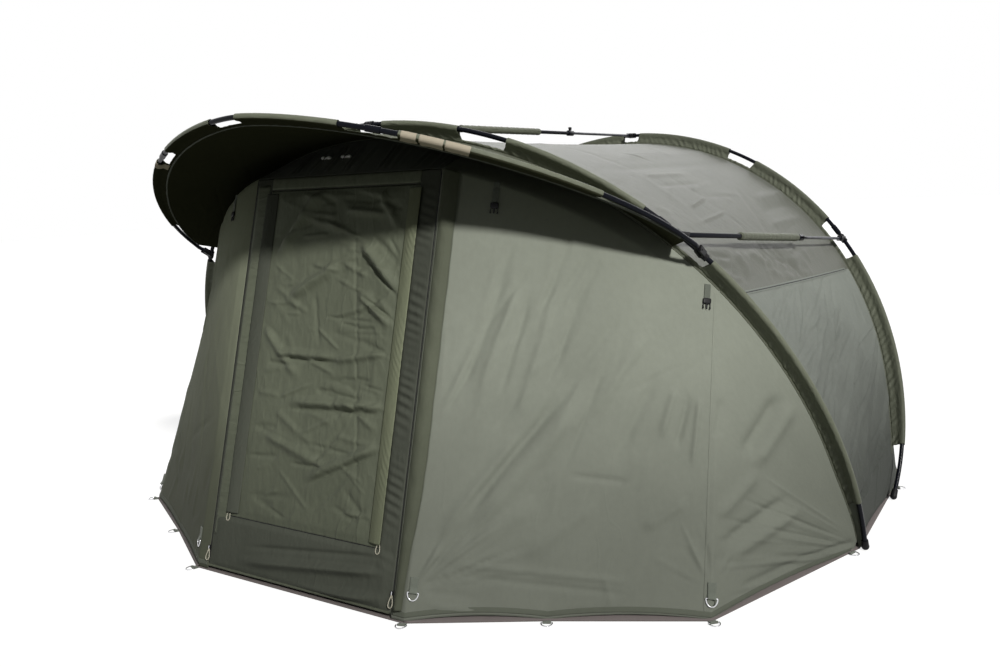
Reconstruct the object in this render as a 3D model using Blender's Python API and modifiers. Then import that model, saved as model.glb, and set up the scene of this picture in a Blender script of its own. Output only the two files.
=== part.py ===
"""Two-rib bivvy tent with a peaked front: poles, tension bars, fabric panels, door, zips and fittings.

Metres, +Z up, the door faces -Y. The origin lies on the ground, midway between the front rib's feet.
"""

import math
from collections import namedtuple

import bmesh
import bpy
import numpy as np
from mathutils import Matrix, Vector

# Ribs: each is a super-ellipse in a plane that leans about the line of its feet
FRONT_HALF_WIDTH = 1.516
FRONT_RISE = 1.575
FRONT_CENTRE = 0.051
FRONT_POWER = 2.05
FRONT_LEAN = math.radians(22.7)
REAR_HALF_WIDTH = 1.496
REAR_RISE = 1.564
REAR_CENTRE = 0.157
REAR_POWER = 1.90
REAR_LEAN = math.radians(-30.8)
RIB_SPACING = 0.540
PEAK_RISE = 0.898
PEAK_POWER = 1.643
PEAK_LIFT = math.radians(30.9)
RIB_STEPS = 34
PEAK_STEPS = 28

# Where things sit along a rib, as turns in radians from its right foot
PEAK_TURN = 0.736
FRONT_SADDLE_TURN = 0.798
REAR_SADDLE_TURN = 0.681
FRONT_SOCKET_TURN = 0.838
REAR_SOCKET_TURN = 0.716
PEAK_SOCKET_TURN = 1.086
PEAK_SOCKET_TURN_LEFT = 2.120
PEAK_FIRST_TURN = 0.130
SEAM_TURN = 0.660
FRONT_SLEEVE_TURNS = ((0.092, 0.712), (0.887, 1.215), (1.336, 1.535))
REAR_SLEEVE_TURNS = ((0.050, 0.614), (0.760, 1.070), (1.175, 1.535))
PEAK_SLEEVE_TURNS = ((0.492, 1.021), (1.179, 1.546), (1.721, 2.067), (2.182, 2.783))
FRONT_CLAMP_TURNS = (PEAK_TURN, FRONT_SADDLE_TURN, math.pi / 2)
REAR_CLAMP_TURNS = (REAR_SADDLE_TURN, math.pi / 2)
FOLD_RANGE = math.radians(12.0)

# Tubes, sockets and feet
TUBE_RADIUS = 0.008
SOCKET_RADIUS = 0.0105
SOCKET_DEPTH = 0.022
FOOT_RADIUS = 0.013
TURNED_SIDES = 8
GAP = 0.0003
PANEL_GAP = 0.0005
WELD = 0.00001
OVERRUN = 0.004

# Fabric, and the web that joins it to the poles
FABRIC = 0.002
WEB_WIDTH = 0.050
FOOT_WEB = 0.024
WEB_FADE = 0.350
PEAK_WEB = 0.045
PEAK_WEB_FADE_SHARE = 0.25
SLEEVE_FABRIC = 0.0015
SLEEVE_SLACK = 0.0009
SLEEVE_ARC_POINTS = 5
WEB_GAP = 0.0026
WEB_SEAM = 0.0011
WEB_STRIP = 0.010
CANOPY_SETBACK = 0.004
EDGE_SETBACK = 0.0038
SEWN_GAP = 0.0016
ROOF_SAG = 0.012
ROOF_SHARE = 0.209
FOOT_SHARE = 0.02

# Ground plan: pegged corners of the front, and the round of the rear hem
DOOR_HALF_WIDTH = 0.415
CORNER_REACH = 0.052
PEG_INSET = 0.677
SEAM_INSET = 0.256
DOOR_CORNER = (DOOR_HALF_WIDTH + CORNER_REACH, -1.167)
FRONT_PEG = (FRONT_HALF_WIDTH - PEG_INSET, -0.954)
SEAM_CORNER = (FRONT_HALF_WIDTH - SEAM_INSET, -0.734)
REAR_HEM_DEPTH = 1.310
REAR_HEM_POWER = 2.2
REAR_PEG_SHARE = 0.31
SHEET_THICKNESS = 0.002
SHEET_MARGIN = 0.006
HEM_HEIGHT = 0.0035
CORNER_START_SHARE = 0.10

# Door, which hangs in a plane from the header down to the hem
DOOR_TOP_Y = -0.775
DOOR_TOP = 1.335
DOOR_FOOT_GAP = 0.012
INNER_HALF_WIDTH = 0.340
INNER_BOTTOM = 0.190
TOP_BAND = 0.045
INNER_TOP = DOOR_TOP - TOP_BAND
DOOR_FOLD = 0.009
WALL_BEND_SHARE = 0.955
HEADER_GATHER = 0.004
HEADER_GATHERS = 22
HEADER_STEPS = 2
HEADER_SETBACK = 0.0065
HEADER_EDGE_GAP = 0.003
FLAP_WIDTH = 0.056
FLAP_LIFT = 0.009
FLAP_FOOT = 0.003
FLAP_OFFSET = 0.014
FLAP_NARROW_SHARE = 0.5

# Saddles, pivots and the tongues that turn in them
PIVOT_REACH = 0.036
CLAMP_RADIUS = 0.0125
CLAMP_LENGTH = 0.034
SADDLE_NOSE = 0.011
SADDLE_WIDTH = 0.022
PIN_RADIUS = 0.003
PIN_HEAD = 0.002
PIN_PLAY = 0.0026
REAR_SLACK = 0.0012
TONGUE_RIM = 0.004
TONGUE_LENGTH = 0.023
TONGUE_ROOT = 0.010
TONGUE_THICKNESS_SHARE = 0.90
TONGUE_HEIGHT_SHARE = 0.75

# Tension bars
INNER_TUBE_RADIUS = 0.006
BAR_PLUG = 0.020
BAR_OVERLAP = 0.300
COLLAR_RADIUS = 0.0125
COLLAR_LENGTH = 0.045
WRAP_THICKNESS = 0.006
TOP_OUTER_SHARE = 0.70
TOP_WRAP_SHARES = (0.25, 0.55)
SIDE_OUTER_SHARE = 0.685
SIDE_WRAP_SHARES = (0.28, 0.65)
KNOB_SHAFT = 0.003
KNOB_RADIUS = 0.007
KNOB_HEIGHT = 0.005
KNOB_WING = (0.026, 0.006, 0.010)

# Webbing, rings, straps and zip sliders
WEBBING_WIDTH = 0.025
WEBBING = 0.0012
RING_WIRE = 0.002
RING_WIDTH = 0.034
RING_DROP = 0.024
RING_ARC_POINTS = 7
TAB_LENGTH = 0.045
TAB_OVERLAP = 0.0005
TAB_STANDOFF = 0.0008
UPPER_TAB_SHARE = 0.060
RING_SHARES = (0.0, 0.926)
PEAK_STRAP_SHARES = (0.055, 0.985)
DOOR_STRAP_SHARES = (0.80, 0.944)
HEM_TAB_LENGTH = 0.020
HEM_TAB_ROOT = 0.020
HEM_TAB_LIFT = 0.0002
HEM_TAB_HEIGHT = 0.0023
STRAP_LENGTH = 0.050
STRAP_WIDTH = 0.020
STRAP_STUB = 0.018
BUCKLE_SIZE = (0.026, 0.007, 0.034)
BUCKLE_PRONG = 0.016
SLIDER_SIZE = (0.011, 0.004, 0.015)
PULL_WIRE = 0.0015
PULL_WIDTH = 0.024
PULL_LENGTH = 0.044
PULL_POINTS = 10
SLIDER_REST = 0.075
INNER_SLIDER_REST_GAP = 0.012
VENT_START_SHARE = 0.10
VENT_LIFT = 0.0015
TOGGLE_RADIUS = 0.005
TOGGLE_LENGTH = 0.032
TOGGLE_SHARES = (-0.38, -0.12)

INSIDE = Vector((0.0, RIB_SPACING / 2, FRONT_RISE / 3))

Rib = namedtuple("Rib", "half_width rise centre power lean foot_y")
FRONT = Rib(FRONT_HALF_WIDTH, FRONT_RISE, FRONT_CENTRE, FRONT_POWER, FRONT_LEAN, 0.0)
REAR = Rib(REAR_HALF_WIDTH, REAR_RISE, REAR_CENTRE, REAR_POWER, REAR_LEAN, RIB_SPACING)

# Finishes: colour, roughness, metallic
FINISHES = {
    "fabric": ((0.105, 0.112, 0.075, 1.0), 0.80, 0.0),
    "sleeve_fabric": ((0.050, 0.056, 0.036, 1.0), 0.85, 0.0),
    "groundsheet": ((0.125, 0.110, 0.105, 1.0), 0.70, 0.0),
    "pole": ((0.010, 0.011, 0.013, 1.0), 0.30, 0.6),
    "moulding": ((0.012, 0.012, 0.013, 1.0), 0.45, 0.0),
    "webbing": ((0.110, 0.125, 0.105, 1.0), 0.85, 0.0),
    "nickel": ((0.600, 0.600, 0.620, 1.0), 0.22, 1.0),
}


def clear_scene():
    """Empty the file of its objects and start the two collections."""
    for obj in list(bpy.data.objects):
        bpy.data.objects.remove(obj, do_unlink=True)
    parts = bpy.data.collections.new("bivvy_tent")
    cutters = bpy.data.collections.new("cutters")
    for group in (parts, cutters):
        bpy.context.scene.collection.children.link(group)
    return parts, cutters


def make_finishes():
    """One Principled material for each finish."""
    made = {}
    for name, (colour, roughness, metallic) in FINISHES.items():
        made[name] = bpy.data.materials.new(name)
        made[name].use_nodes = True
        shader = made[name].node_tree.nodes["Principled BSDF"]
        shader.inputs["Base Color"].default_value = colour
        shader.inputs["Roughness"].default_value = roughness
        shader.inputs["Metallic"].default_value = metallic
    return made


def add(name, data, finish):
    """A named object of the parts collection."""
    obj = bpy.data.objects.new(name, data)
    data.materials.append(MATERIALS[finish])
    PARTS.objects.link(obj)
    return obj


def smoothstep(share):
    """Ease from 0 to 1 with level ends."""
    share = np.clip(share, 0.0, 1.0)
    return share * share * (3.0 - 2.0 * share)


def unit(vector):
    """Vectors of length one, along the last axis."""
    vector = np.asarray(vector, dtype=float)
    return vector / np.linalg.norm(vector, axis=-1, keepdims=True)


def mirrored(points):
    """The same points on the other side of the tent."""
    return np.asarray(points) * np.array([-1.0, 1.0, 1.0])


def frame_at(origin, x_axis, z_axis):
    """Placement with its X and Z along these square directions."""
    x_axis = Vector(x_axis)
    z_axis = Vector(z_axis)
    turn = Matrix((x_axis, z_axis.cross(x_axis), z_axis)).transposed().to_4x4()
    return Matrix.Translation(Vector(origin)) @ turn


def across(direction):
    """Some direction square to this one."""
    direction = Vector(direction)
    helper = Vector((1.0, 0.0, 0.0)) if abs(direction.x) < abs(direction.z) else Vector((0.0, 0.0, 1.0))
    return direction.cross(helper).normalized()


def round_bore(radius):
    """Corner radius of a many-sided bore whose flats clear a shaft of this radius."""
    return (radius + GAP) / math.cos(math.pi / TURNED_SIDES)


# Mesh helpers

def baked(obj):
    """The mesh that an object's modifiers or bevel leave, welded, facing out, in world space."""
    bpy.context.view_layer.update()
    graph = bpy.context.evaluated_depsgraph_get()
    mesh = bpy.data.meshes.new_from_object(obj.evaluated_get(graph))
    mesh.transform(obj.matrix_world)
    shape = bmesh.new()
    shape.from_mesh(mesh)
    bmesh.ops.remove_doubles(shape, verts=shape.verts, dist=WELD)
    bmesh.ops.recalc_face_normals(shape, faces=shape.faces)
    shape.to_mesh(mesh)
    shape.free()
    mesh.materials.clear()
    bpy.data.objects.remove(obj)
    return mesh


def helper_object(data):
    """A hidden object that only lends its shape."""
    obj = bpy.data.objects.new("cutter", data)
    obj.hide_render = True
    obj.display_type = "WIRE"
    CUTTERS.objects.link(obj)
    return obj


def boolean(base, others, operation):
    """The base mesh with the other meshes joined to it or cut from it."""
    target = helper_object(base)
    tools = [helper_object(other) for other in others]
    for tool in tools:
        step = target.modifiers.new("step", "BOOLEAN")
        step.operation = operation
        step.object = tool
    result = baked(target)
    for tool in tools:
        bpy.data.objects.remove(tool)
    return result


def block(size, frame):
    """A box of this size centred on a frame."""
    shape = bmesh.new()
    bmesh.ops.create_cube(shape, size=1.0, matrix=frame @ Matrix.Diagonal((*size, 1.0)))
    mesh = bpy.data.meshes.new("block")
    shape.to_mesh(mesh)
    shape.free()
    return mesh


def rod(radius, start, end, frame, sides=TURNED_SIDES):
    """A round bar along a frame's Z, from one height to another."""
    shape = bmesh.new()
    middle = frame @ Matrix.Translation((0.0, 0.0, (start + end) / 2))
    bmesh.ops.create_cone(shape, cap_ends=True, segments=sides, radius1=radius, radius2=radius,
                          depth=end - start, matrix=middle)
    mesh = bpy.data.meshes.new("rod")
    shape.to_mesh(mesh)
    shape.free()
    return mesh


def turned(profile, frame):
    """A profile of (radius, height) corners turned round a frame's Z; it closes on the axis or on itself."""
    data = bpy.data.meshes.new("profile")
    corners = [(radius, 0.0, height) for radius, height in profile]
    edges = [(i, i + 1) for i in range(len(corners) - 1)]
    if profile[0][0] > 0.0:
        edges.append((len(corners) - 1, 0))
    data.from_pydata(corners, edges, [])
    obj = helper_object(data)
    screw = obj.modifiers.new("turn", "SCREW")
    screw.steps = TURNED_SIDES
    screw.render_steps = TURNED_SIDES
    screw.use_merge_vertices = True
    screw.merge_threshold = WELD
    obj.matrix_world = frame
    return baked(obj)


def plate(outlines, thickness, frame):
    """Flat outlines in a frame's XY plane, filled between, and given a thickness along its Z."""
    curve = bpy.data.curves.new("plate", "CURVE")
    curve.dimensions = "2D"
    curve.fill_mode = "BOTH"
    curve.extrude = thickness / 2
    for outline in outlines:
        spline = curve.splines.new("POLY")
        spline.points.add(len(outline) - 1)
        spline.use_cyclic_u = True
        for point, (x, y) in zip(spline.points, outline):
            point.co = (x, y, 0.0, 1.0)
    obj = helper_object(curve)
    obj.matrix_world = frame
    return baked(obj)


def tube_curve(points, radius, resolution=2, closed=False):
    """A round tube through points, as a curve with a bevel and filled caps."""
    curve = bpy.data.curves.new("tube", "CURVE")
    curve.dimensions = "3D"
    curve.bevel_depth = radius
    curve.bevel_resolution = resolution
    curve.use_fill_caps = True
    spline = curve.splines.new("POLY")
    spline.points.add(len(points) - 1)
    spline.use_cyclic_u = closed
    for place, point in zip(spline.points, points):
        place.co = (*point, 1.0)
    return curve


def tube_mesh(points, radius, resolution=2, closed=False):
    """The same tube as a mesh."""
    return baked(helper_object(tube_curve(points, radius, resolution, closed)))


def surface(grid, keep=None):
    """An open mesh through a grid of points, turned so that its faces look away from the tent's inside."""
    rows, columns = grid.shape[:2]
    index = np.arange(rows * columns).reshape(rows, columns)
    faces = np.stack([index[:-1, :-1], index[:-1, 1:], index[1:, 1:], index[1:, :-1]], axis=-1)
    faces = faces[keep] if keep is not None else faces.reshape(-1, 4)
    corners = grid.reshape(-1, 3)[faces]
    facing = np.cross(corners[:, 2] - corners[:, 0], corners[:, 3] - corners[:, 1])
    outward = corners.mean(axis=1) - np.array(INSIDE)
    if (facing * outward).sum() < 0.0:
        faces = faces[:, ::-1]
    data = bpy.data.meshes.new("surface")
    data.from_pydata(grid.reshape(-1, 3).tolist(), [], faces.tolist())
    shape = bmesh.new()
    shape.from_mesh(data)
    bmesh.ops.delete(shape, geom=[vert for vert in shape.verts if not vert.link_faces], context="VERTS")
    shape.to_mesh(data)
    shape.free()
    data.shade_smooth()
    return data


def sheet(name, grid, finish="fabric", thickness=FABRIC, offset=-1.0, keep=None):
    """A fabric panel: a surface thickened towards the inside."""
    obj = add(name, surface(grid, keep), finish)
    thicken(obj, thickness, offset)
    return obj


def thicken(obj, thickness, offset):
    """Give a surface its wall."""
    wall = obj.modifiers.new("wall", "SOLIDIFY")
    wall.thickness = thickness
    wall.offset = offset
    wall.use_quality_normals = True


def thick_mesh(grid, thickness, offset, keep=None):
    """A thickened surface as a plain mesh, for joining to others."""
    obj = helper_object(surface(grid, keep))
    thicken(obj, thickness, offset)
    return baked(obj)


# The curves that everything follows

def power_arc(turn, half_width, rise, power):
    """Super-ellipse: the cosine and sine keep their signs and are raised to 2 / power."""
    cosine = np.cos(turn)
    sine = np.sin(turn)
    x = half_width * np.sign(cosine) * np.abs(cosine) ** (2.0 / power)
    height = rise * np.sign(sine) * np.abs(sine) ** (2.0 / power)
    return x, height


def rib_points(rib, turn, inset=0.0):
    """Points of a rib's centre line, or of the same line drawn in by an inset."""
    x, height = power_arc(turn, rib.half_width - inset, rib.rise - inset, rib.power)
    height = height + rib.centre
    return np.stack([x, rib.foot_y - height * math.sin(rib.lean), height * math.cos(rib.lean)], axis=-1)


def foot_turn(rib, height=0.0):
    """The turn at which a rib's right leg reaches a height over the ground."""
    level = (height / math.cos(rib.lean) - rib.centre) / rib.rise
    return math.copysign(math.asin(abs(level) ** (rib.power / 2.0)), level)


def share_turn(rib, share):
    """The turn at a share of the way round a rib, from its right foot to its left."""
    start = foot_turn(rib)
    return start + share * (math.pi - 2.0 * start)


def fabric_line(rib, turn):
    """Where the fabric meets a rib: inside it by the web, which narrows towards the feet."""
    height = rib_points(rib, turn)[..., 2]
    web = FOOT_WEB + (WEB_WIDTH - FOOT_WEB) * smoothstep(height / WEB_FADE)
    return rib_points(rib, turn, web)


def turn_at_x(rib, x):
    """The turn at which a rib's fabric line is this far to the side, high up where the web is full."""
    return np.arccos(np.sign(x) * np.abs(x / (rib.half_width - WEB_WIDTH)) ** (rib.power / 2.0))


PEAK_ROOT = rib_points(FRONT, np.array(PEAK_TURN))
PEAK_AXIS = np.array([0.0, -math.cos(PEAK_LIFT), math.sin(PEAK_LIFT)])
PEAK_PIVOT = PEAK_ROOT + PIVOT_REACH * PEAK_AXIS


def peak_points(turn, inset=0.0):
    """Points of the peak rib, an arch in a plane that rises forward from its two pivots."""
    x, reach = power_arc(turn, PEAK_PIVOT[0] - inset, PEAK_RISE - inset, PEAK_POWER)
    return np.stack([x, PEAK_PIVOT[1] + reach * PEAK_AXIS[1], PEAK_PIVOT[2] + reach * PEAK_AXIS[2]], axis=-1)


def peak_line(turn):
    """Where the canopy meets the peak rib's web, which narrows towards the pivots."""
    ends = np.minimum(turn, math.pi - turn) / (math.pi * PEAK_WEB_FADE_SHARE)
    return peak_points(turn, PEAK_WEB * (0.3 + 0.7 * smoothstep(ends)))


def tangent(curve, turn):
    """Direction of a curve at a turn, and the turn that one metre of it takes."""
    small = 0.001
    step = (curve(turn + small) - curve(turn - small)) / (2.0 * small)
    return unit(step), 1.0 / np.linalg.norm(step)


def front_curve(turn):
    """Centre line of the front rib."""
    return rib_points(FRONT, turn)


def rear_curve(turn):
    """Centre line of the rear rib."""
    return rib_points(REAR, turn)


def whole_stations(low, high, steps, spans):
    """Turns along a whole rib: even ones, and the ends of its sleeves and clamps in place of their neighbours."""
    even = np.linspace(low, high, steps + 1)
    ends = np.array(spans).ravel()
    near = (high - low) / steps * 0.4
    clear = np.array([np.abs(ends - turn).min() > near for turn in even])
    return np.sort(np.concatenate([even[clear], ends]))


def stations(start, end, whole):
    """Turns from start to end, with the rib's stations that lie between them."""
    margin = 0.004
    inner = whole[(whole > start + margin) & (whole < end - margin)]
    return np.concatenate([[start], inner, [end]])


def both_sides(spans):
    """Spans of the right half of a rib, and the same on its left half."""
    left = [(math.pi - end, math.pi - start) for start, end in reversed(spans)]
    return (*spans, *left)


# Poles

def straight_end(curve, turn, length, backwards):
    """A turn this far along the curve from another, so that a tube's end runs straight."""
    return turn + (-1.0 if backwards else 1.0) * length * tangent(curve, turn)[1]


def pole_points(curve, start, end, whole):
    """Points of a pole section whose two ends run straight."""
    first = straight_end(curve, start, SOCKET_DEPTH, False)
    last = straight_end(curve, end, SOCKET_DEPTH, True)
    return curve(np.concatenate([[start], stations(first, last, whole), [end]]))


def socket(curve, turn, leg_before):
    """A blind socket that is fused to the crown pole and takes the leg pole's end."""
    direction = tangent(curve, turn)[0] * (-1.0 if leg_before else 1.0)
    frame = frame_at(curve(turn), across(direction), direction)
    bore = round_bore(TUBE_RADIUS)
    return turned([(0.0, -SOCKET_DEPTH), (SOCKET_RADIUS, -SOCKET_DEPTH), (SOCKET_RADIUS, SOCKET_DEPTH),
                   (bore, SOCKET_DEPTH), (bore, 0.0), (0.0, 0.0)], frame)


def crown(name, curve, right, left, whole):
    """The middle section of an arch, with a socket at each end."""
    start = straight_end(curve, right, SOCKET_DEPTH / 4, False)
    end = straight_end(curve, left, SOCKET_DEPTH / 4, True)
    body = tube_mesh(pole_points(curve, start, end, whole), TUBE_RADIUS)
    sockets = [socket(curve, right, True), socket(curve, left, False)]
    return add(name, boolean(body, sockets, "UNION"), "pole")


def foot_ball(centre):
    """The round foot that is fused to a leg's lower end."""
    shape = bmesh.new()
    bmesh.ops.create_uvsphere(shape, u_segments=TURNED_SIDES, v_segments=TURNED_SIDES * 2 // 3,
                              radius=FOOT_RADIUS, matrix=Matrix.Translation(Vector(centre)))
    ball = bpy.data.meshes.new("ball")
    shape.to_mesh(ball)
    shape.free()
    return ball


def rib_legs(name, rib, curve, socket_turn, whole):
    """The two leg sections of a rib, each with its foot, up to inside the crown's sockets."""
    end = straight_end(curve, socket_turn, GAP, True)
    points = pole_points(curve, foot_turn(rib, FOOT_RADIUS), end, whole)
    for side, path in (("right", points), ("left", mirrored(points))):
        leg = boolean(tube_mesh(path, TUBE_RADIUS), [foot_ball(path[0])], "UNION")
        add(name + "_rib_" + side + "_leg", leg, "pole")


def sleeve(name, curve, line, whole, spans):
    """A fabric sleeve: it rises from the panel's edge, wraps the pole over each span and comes back down.

    Between the spans only a low strip of its web runs on, and the pole lies bare.
    """
    turns = stations(spans[0][0], spans[-1][1], whole)
    centre = curve(turns)
    edge = line(turns)
    inward = unit(edge - centre)
    width = np.linalg.norm(edge - centre, axis=-1, keepdims=True)
    along = unit(np.gradient(centre, axis=0))
    side = unit(np.cross(along, inward))
    spread = math.radians(120.0)
    angles = np.linspace(-spread, spread, SLEEVE_ARC_POINTS)
    half_step = spread / (SLEEVE_ARC_POINTS - 1)
    radius = (TUBE_RADIUS + SLEEVE_SLACK + SLEEVE_FABRIC / 2) / math.cos(half_step)
    over = [centre + radius * (side * math.sin(angle) - inward * math.cos(angle)) for angle in angles]
    foot = centre + inward * (width - WEB_GAP)
    strip = foot - inward * WEB_STRIP
    rows = [foot - side * WEB_SEAM, strip - side * WEB_SEAM, *over,
            strip + side * WEB_SEAM, foot + side * WEB_SEAM]
    middle = (turns[:-1] + turns[1:]) / 2
    keep = np.zeros((len(rows) - 1, len(middle)), dtype=bool)
    keep[0] = True
    keep[-1] = True
    for low, high in spans:
        keep[:, (middle > low) & (middle < high)] = True
    add(name, thick_mesh(np.stack(rows, axis=0), SLEEVE_FABRIC, 0.0, keep), "sleeve_fabric")


def clamp_span(curve, turn):
    """The turns that a saddle's clamp covers."""
    half = CLAMP_LENGTH / 2 * float(tangent(curve, turn)[1])
    return turn - half, turn + half


def rib(name, shape, curve, socket_turn, sleeve_turns, clamp_turns):
    """A whole rib: two legs, the crown between them, and the sleeve."""
    low = foot_turn(shape)
    spans = both_sides(sleeve_turns)
    clamps = both_sides([clamp_span(curve, turn) for turn in clamp_turns])
    whole = whole_stations(low, math.pi - low, RIB_STEPS, spans + clamps)
    rib_legs(name, shape, curve, socket_turn, whole)
    crown(name + "_rib_crown", curve, socket_turn, math.pi - socket_turn, whole)
    sleeve(name + "_rib_sleeve", curve, lambda turn: fabric_line(shape, turn), whole, spans)


# Pivots

def saddle(root, along, pivot, pin_axis, tongue_width):
    """A clamp round a pole with a slotted nose and a pin, on which a tongue turns."""
    forward = unit(pivot - root)
    reach = float(np.linalg.norm(pivot - root))
    frame = frame_at(pivot, forward, pin_axis)
    clamp_frame = frame_at(root, across(along), along)
    body = rod(CLAMP_RADIUS, -CLAMP_LENGTH / 2, CLAMP_LENGTH / 2, clamp_frame)
    middle = Matrix.Translation(((SADDLE_NOSE - reach) / 2, 0.0, 0.0))
    stem = block((reach + SADDLE_NOSE, 2.0 * SADDLE_NOSE, SADDLE_WIDTH), frame @ middle)
    bore = rod(round_bore(TUBE_RADIUS), -CLAMP_LENGTH, CLAMP_LENGTH, clamp_frame)
    slot_depth = reach - CLAMP_RADIUS - PIN_HEAD
    slot_end = SADDLE_NOSE + OVERRUN
    slot_middle = Matrix.Translation(((slot_end - slot_depth) / 2, 0.0, 0.0))
    slot = block((slot_end + slot_depth, 4.0 * SADDLE_NOSE, tongue_width + 2.0 * GAP), frame @ slot_middle)
    half = SADDLE_WIDTH / 2 + PIN_HEAD
    pin = rod(PIN_RADIUS, -half, half, frame)
    cut = boolean(boolean(body, [stem], "UNION"), [bore, slot], "DIFFERENCE")
    return boolean(cut, [pin], "UNION")


def tongue(frame, tube_radius, play):
    """A flat tongue with a pin hole, in a frame whose Z is the pin and whose X runs to the tube."""
    hole = (PIN_RADIUS + GAP + play) / math.cos(math.pi / TURNED_SIDES)
    outer = hole + TONGUE_RIM
    half = tube_radius * TONGUE_HEIGHT_SHARE
    angles = np.linspace(math.radians(50.0), math.radians(310.0), TURNED_SIDES)
    outline = [(outer * math.cos(a), outer * math.sin(a)) for a in angles]
    end = TONGUE_LENGTH + TONGUE_ROOT
    outline += [(TONGUE_LENGTH - OVERRUN, -half), (end, -half), (end, half), (TONGUE_LENGTH - OVERRUN, half)]
    ring = np.linspace(0.0, 2.0 * math.pi, TURNED_SIDES, endpoint=False)
    opening = [(hole * math.cos(a), hole * math.sin(a)) for a in ring]
    return plate([outline, opening], tube_radius * TONGUE_THICKNESS_SHARE, frame)


Bar = namedtuple("Bar", "name front rear axis outer_share wrap_shares knob_lean")


def turned_about_rear_feet(point, angle):
    """Where a point of the rear rib goes when the rib is folded forward."""
    y = point[1] - RIB_SPACING
    z = point[2] - FOOT_RADIUS
    return np.array([point[0], RIB_SPACING + y * math.cos(angle) - z * math.sin(angle),
                     FOOT_RADIUS + y * math.sin(angle) + z * math.cos(angle)])


def make_bar(name, front_turn, rear_turn, mirror, outer_share, wrap_shares, knob_lean):
    """Pivots and hinge axis of a tension bar between the two ribs."""
    side = np.array([mirror, 1.0, 1.0])
    front = front_curve(front_turn) * side
    rear = rear_curve(rear_turn) * side
    along = unit(rear - front)
    front = front + along * PIVOT_REACH
    rear = rear - along * PIVOT_REACH
    folded = turned_about_rear_feet(rear, FOLD_RANGE)
    axis = unit(np.cross(rear - front, folded - front))
    return Bar(name, front, rear, axis, outer_share, wrap_shares, knob_lean)


BARS = (
    make_bar("top_bar", math.pi / 2, math.pi / 2, 1.0, TOP_OUTER_SHARE, TOP_WRAP_SHARES, 90.0),
    make_bar("right_bar", FRONT_SADDLE_TURN, REAR_SADDLE_TURN, 1.0, SIDE_OUTER_SHARE, SIDE_WRAP_SHARES, 0.0),
    make_bar("left_bar", FRONT_SADDLE_TURN, REAR_SADDLE_TURN, -1.0, SIDE_OUTER_SHARE, SIDE_WRAP_SHARES, 180.0),
)


def saddles():
    """The saddles at both ends of each bar, and the brackets that carry the peak rib."""
    turns = ((math.pi / 2, math.pi / 2), (FRONT_SADDLE_TURN, REAR_SADDLE_TURN), (FRONT_SADDLE_TURN, REAR_SADDLE_TURN))
    thick = TUBE_RADIUS * TONGUE_THICKNESS_SHARE
    thin = INNER_TUBE_RADIUS * TONGUE_THICKNESS_SHARE
    for bar, (front_turn, rear_turn) in zip(BARS, turns):
        along = unit(bar.rear - bar.front)
        side = np.array([-1.0 if bar.front[0] < -WELD else 1.0, 1.0, 1.0])
        front_run = tangent(front_curve, front_turn)[0] * side
        rear_run = tangent(rear_curve, rear_turn)[0] * side
        front = saddle(bar.front - along * PIVOT_REACH, front_run, bar.front, bar.axis, thick)
        rear = saddle(bar.rear + along * PIVOT_REACH, rear_run, bar.rear, bar.axis, thin + 2.0 * REAR_SLACK)
        add(bar.name + "_front_saddle", front, "moulding")
        add(bar.name + "_rear_saddle", rear, "moulding")
    run = tangent(front_curve, PEAK_TURN)[0]
    for name, mirror in (("right", 1.0), ("left", -1.0)):
        side = np.array([mirror, 1.0, 1.0])
        bracket = saddle(PEAK_ROOT * side, run * side, PEAK_PIVOT * side, (1.0, 0.0, 0.0), thick)
        add("peak_bracket_" + name, bracket, "moulding")


def knob_frame(bar, place):
    """Where a clamp knob's screw starts on the bar's axis, with Z pointing out of the collar."""
    along = unit(bar.rear - bar.front)
    lean = math.radians(bar.knob_lean)
    level = unit(np.cross(along, (0.0, 0.0, 1.0)))
    up = np.cross(level, along)
    out = level * math.cos(lean) + up * math.sin(lean)
    return frame_at(bar.front + along * place, along, out)


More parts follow.
